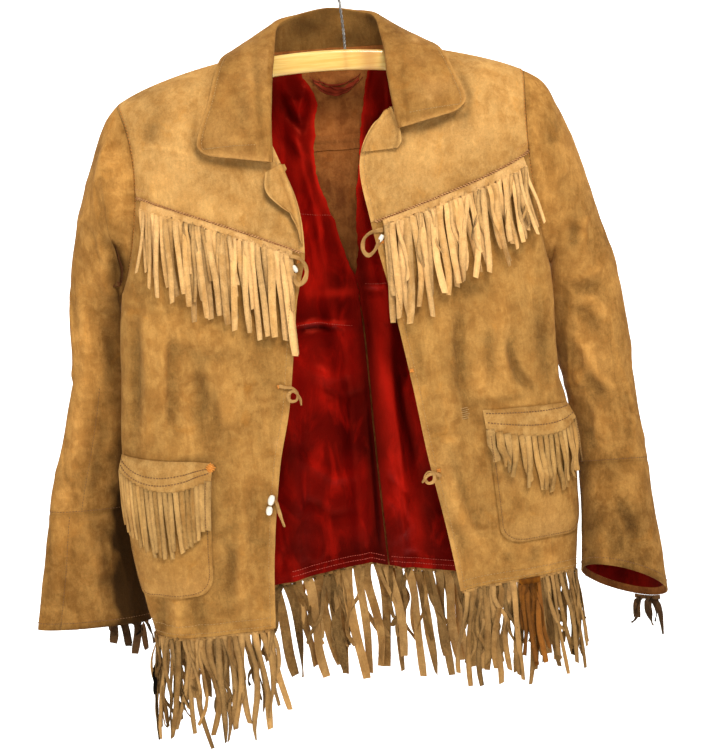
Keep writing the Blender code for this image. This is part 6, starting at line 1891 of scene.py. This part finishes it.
def sew_back():
    tree = surface("back_yoke_cloth", "back_panel_cloth")
    pale, rust = Cloth(), Cloth()
    share = np.linspace(-0.985, 0.985, 300)
    for down in (BACK_SEAM - 3.0, BACK_SEAM + 4.5, HEM - HEM_STITCH, HEM - 4.0):
        sew(pale, tree, *back_line(share, down), 3.3, 2.3, 0.34, 0.0, 11)
    for end in (-0.984, 0.984):
        sew(rust, tree, *back_line(end, np.linspace(10, UNDERARM - 4, 140)), 3.6, 2.4, 0.36, 0.5, 12)
    sew_on("back", THREAD_PALE, pale)
    sew_on("back_armholes", THREAD_RUST, rust)


def sew_sleeve(side):
    tree = surface(f"sleeve_cloth_{side}", f"cuff_cloth_{side}")
    last = len(SLEEVE[side]) + len(CUFF[side])
    dark = Cloth()

    def line(place, angle):
        place, angle = grids(place, angle)
        skin = arm_skin(side, place, angle)
        turn = arm_skin(side, place, angle + 2) - arm_skin(side, place, angle - 2)
        down = arm_skin(side, np.minimum(place + 0.05, last), angle) - arm_skin(side, place - 0.05, angle)
        out = unit(np.cross(turn, down))
        core = (skin + arm_skin(side, place, angle + 180)) / 2
        return skin, out * np.sign(np.sum(out * (skin - core), -1, keepdims=True))

    for place in (CUFF_SEAM[side] - 0.05, last - 0.12):
        sew(dark, tree, *line(place, np.linspace(0, 360, 240)), 3.2, 2.2, 0.34, 0.0, 13)
    for angle, low, high in ARM_SEAMS[side]:
        sew(dark, tree, *line(np.linspace(low, high, 200), angle + 2.2), 3.2, 2.2, 0.32, 0.0, 14)
    sew_on("sleeve_" + side, THREAD_DARK, dark)


def sew_collar():
    seam, fold, outer = collar_rows()[1]
    far = np.concatenate([[0], np.cumsum(np.linalg.norm(np.diff(outer, axis=0), axis=1))])
    inset = 5.4
    picked = np.flatnonzero((far > inset) & (far < far[-1] - inset))
    first, last = picked[0], picked[-1]
    edge = outer + (fold - outer) * (inset / np.linalg.norm(outer - fold, axis=1))[:, None]
    ends = [fold[n] + (edge[n] - fold[n]) * np.linspace(0.12, 0.98, 30)[:, None] for n in (first, last)]
    out = unit(FORWARD * 0.6 + unit((outer - seam) * LEVEL)) + UP * 0.35
    line = np.concatenate([ends[0], edge[picked[1:-1]], ends[1][::-1]])
    out = np.concatenate([np.tile(out[first], (30, 1)), out[picked[1:-1]], np.tile(out[last], (30, 1))])
    pale = Cloth()
    sew(pale, surface("collar_cloth"), line, out, 3.1, 2.1, 0.34, 0.0, 15)
    sew_on("collar", THREAD_PALE, pale)


LINING_SEAMS = {RIGHT: [[(-62, -259), (-40, -262), (-20, -264)], [(-74, -378), (-48, -376), (-12, -382)]],
                LEFT: [[(4, -338), (16, -339), (30, -339)]]}


def sew_lining(side):
    tree = surface("lining_back_cloth_" + side)
    near = read(TEAR, side + "_x", 560.0)[0] + OUTWARD[side] * 2
    x = np.linspace(near, near + OUTWARD[side] * 105, 150)
    red = Cloth()
    for down in (LINING_HEM + 3.0, LINING_HEM + 9.5):
        sew(red, tree, *lining_line(x, down), 2.7, 2.1, 0.34, 0.0, 16)
    for seam in LINING_SEAMS[side]:
        at = np.linspace(0, len(seam) - 1, 60)
        x, z = (np.interp(at, np.arange(len(seam)), way) for way in zip(*seam))
        sew(red, tree, np.stack(grids(x, 34.0, z), -1), FORWARD, 2.6, 2.0, 0.30, 0.0, 17)
    sew_on("lining_" + side, THREAD_RED, red)


# ---------------------------------------------------------------- what each sheet was cut to

# The flat size of each piece of cloth in metres, its flat area, how it is held, what it hangs from,
# and the separate pieces that are on it. {s} is the side, and the sizes are for the right and the left.
Sheet = namedtuple("Sheet", "piece right left held hangs_from goes_with")
SHEETS = [
    Sheet("yoke_cloth_{s}", (0.190, 0.210, 0.0255), (0.180, 0.182, 0.0225), "hung", "hanger_bar",
          ("yoke_fringe_{s}_cloth", "stitches_yoke_{s}", "stitches_armhole_{s}")),
    Sheet("front_cloth_{s}", (0.245, 0.470, 0.0850), (0.215, 0.455, 0.0765), "hung", "yoke_{s}",
          ("hem_fringe_{s}_cloth", "stitches_edge_{s}")),
    Sheet("pocket_cloth_{s}", (0.108, 0.142, 0.0134), (0.102, 0.137, 0.0122), "hung", "front_{s}",
          ("pocket_fringe_{s}_cloth", "stitches_pocket_{s}")),
    Sheet("lapel_cloth_{s}", (0.040, 0.092, 0.0017), (0.048, 0.052, 0.0015), "folded", "yoke_{s}", ()),
    Sheet("sleeve_cloth_{s}", (0.360, 0.440, 0.0785), (0.370, 0.430, 0.0800), "hung", "yoke_{s}",
          ("stitches_sleeve_{s}",)),
    Sheet("cuff_cloth_{s}", (0.240, 0.150, 0.0320), (0.225, 0.155, 0.0268), "hung", "sleeve_{s}_front",
          ("cuff_fringe_{s}_cloth",)),
    Sheet("lining_cuff_cloth_{s}", (0.225, 0.095, 0.0188), (0.205, 0.100, 0.0182), "hung", "cuff_{s}", ()),
    Sheet("lining_back_cloth_{s}", (0.255, 0.568, 0.1156), (0.205, 0.558, 0.0912), "hung", "back_yoke",
          ("stitches_lining_{s}",)),
]
WHOLE_SHEETS = [
    Sheet("back_yoke_cloth", (0.455, 0.112, 0.0405), None, "hung", "hanger_bar",
          ("stitches_back", "stitches_back_armholes", "lining_scrap_1", "lining_scrap_2", "lining_scrap_3",
           "lining_scrap_4")),
    Sheet("back_panel_cloth", (0.500, 0.510, 0.2120), None, "hung", "back_yoke", ("hem_fringe_back_cloth",)),
    Sheet("back_seam_band", (0.435, 0.017, 0.0064), None, "hung", "back_yoke", ()),
    Sheet("collar_cloth", (0.430, 0.100, 0.0380), None, "folded", "back_yoke", ("stitches_collar",)),
]


def declare(sheet, side=""):
    names = [name.format(s=side) for name in sheet.goes_with]
    if side == LEFT and sheet.piece.startswith("front"):
        names.append("hem_fringe_orange_cloth")


def declare_sheets():
    for sheet in SHEETS:
        declare(sheet, RIGHT)
        declare(sheet, LEFT)
    for sheet in WHOLE_SHEETS:
        declare(sheet)


# ---------------------------------------------------------------- all together

make_camera()
make_lights()
make_stage()
make_hanger()
make_back()
make_collar()
bone = bead_look()
for side in SIDES:
    for make in (make_front, make_sleeve, make_lapel, make_pocket, make_pocket_fringe, make_yoke_fringe,
                 make_cuff_fringe, make_back_lining, make_cuff_lining):
        make(side)
make_hem_fringes()
for name in THONGS:
    make_tie(name)
for name, bead in BEADS.items():
    make_bead(name, bead, bone)
make_scraps()
for side in SIDES:
    sew_front(side)
    sew_sleeve(side)
    sew_lining(side)
sew_back()
sew_collar()
declare_sheets()
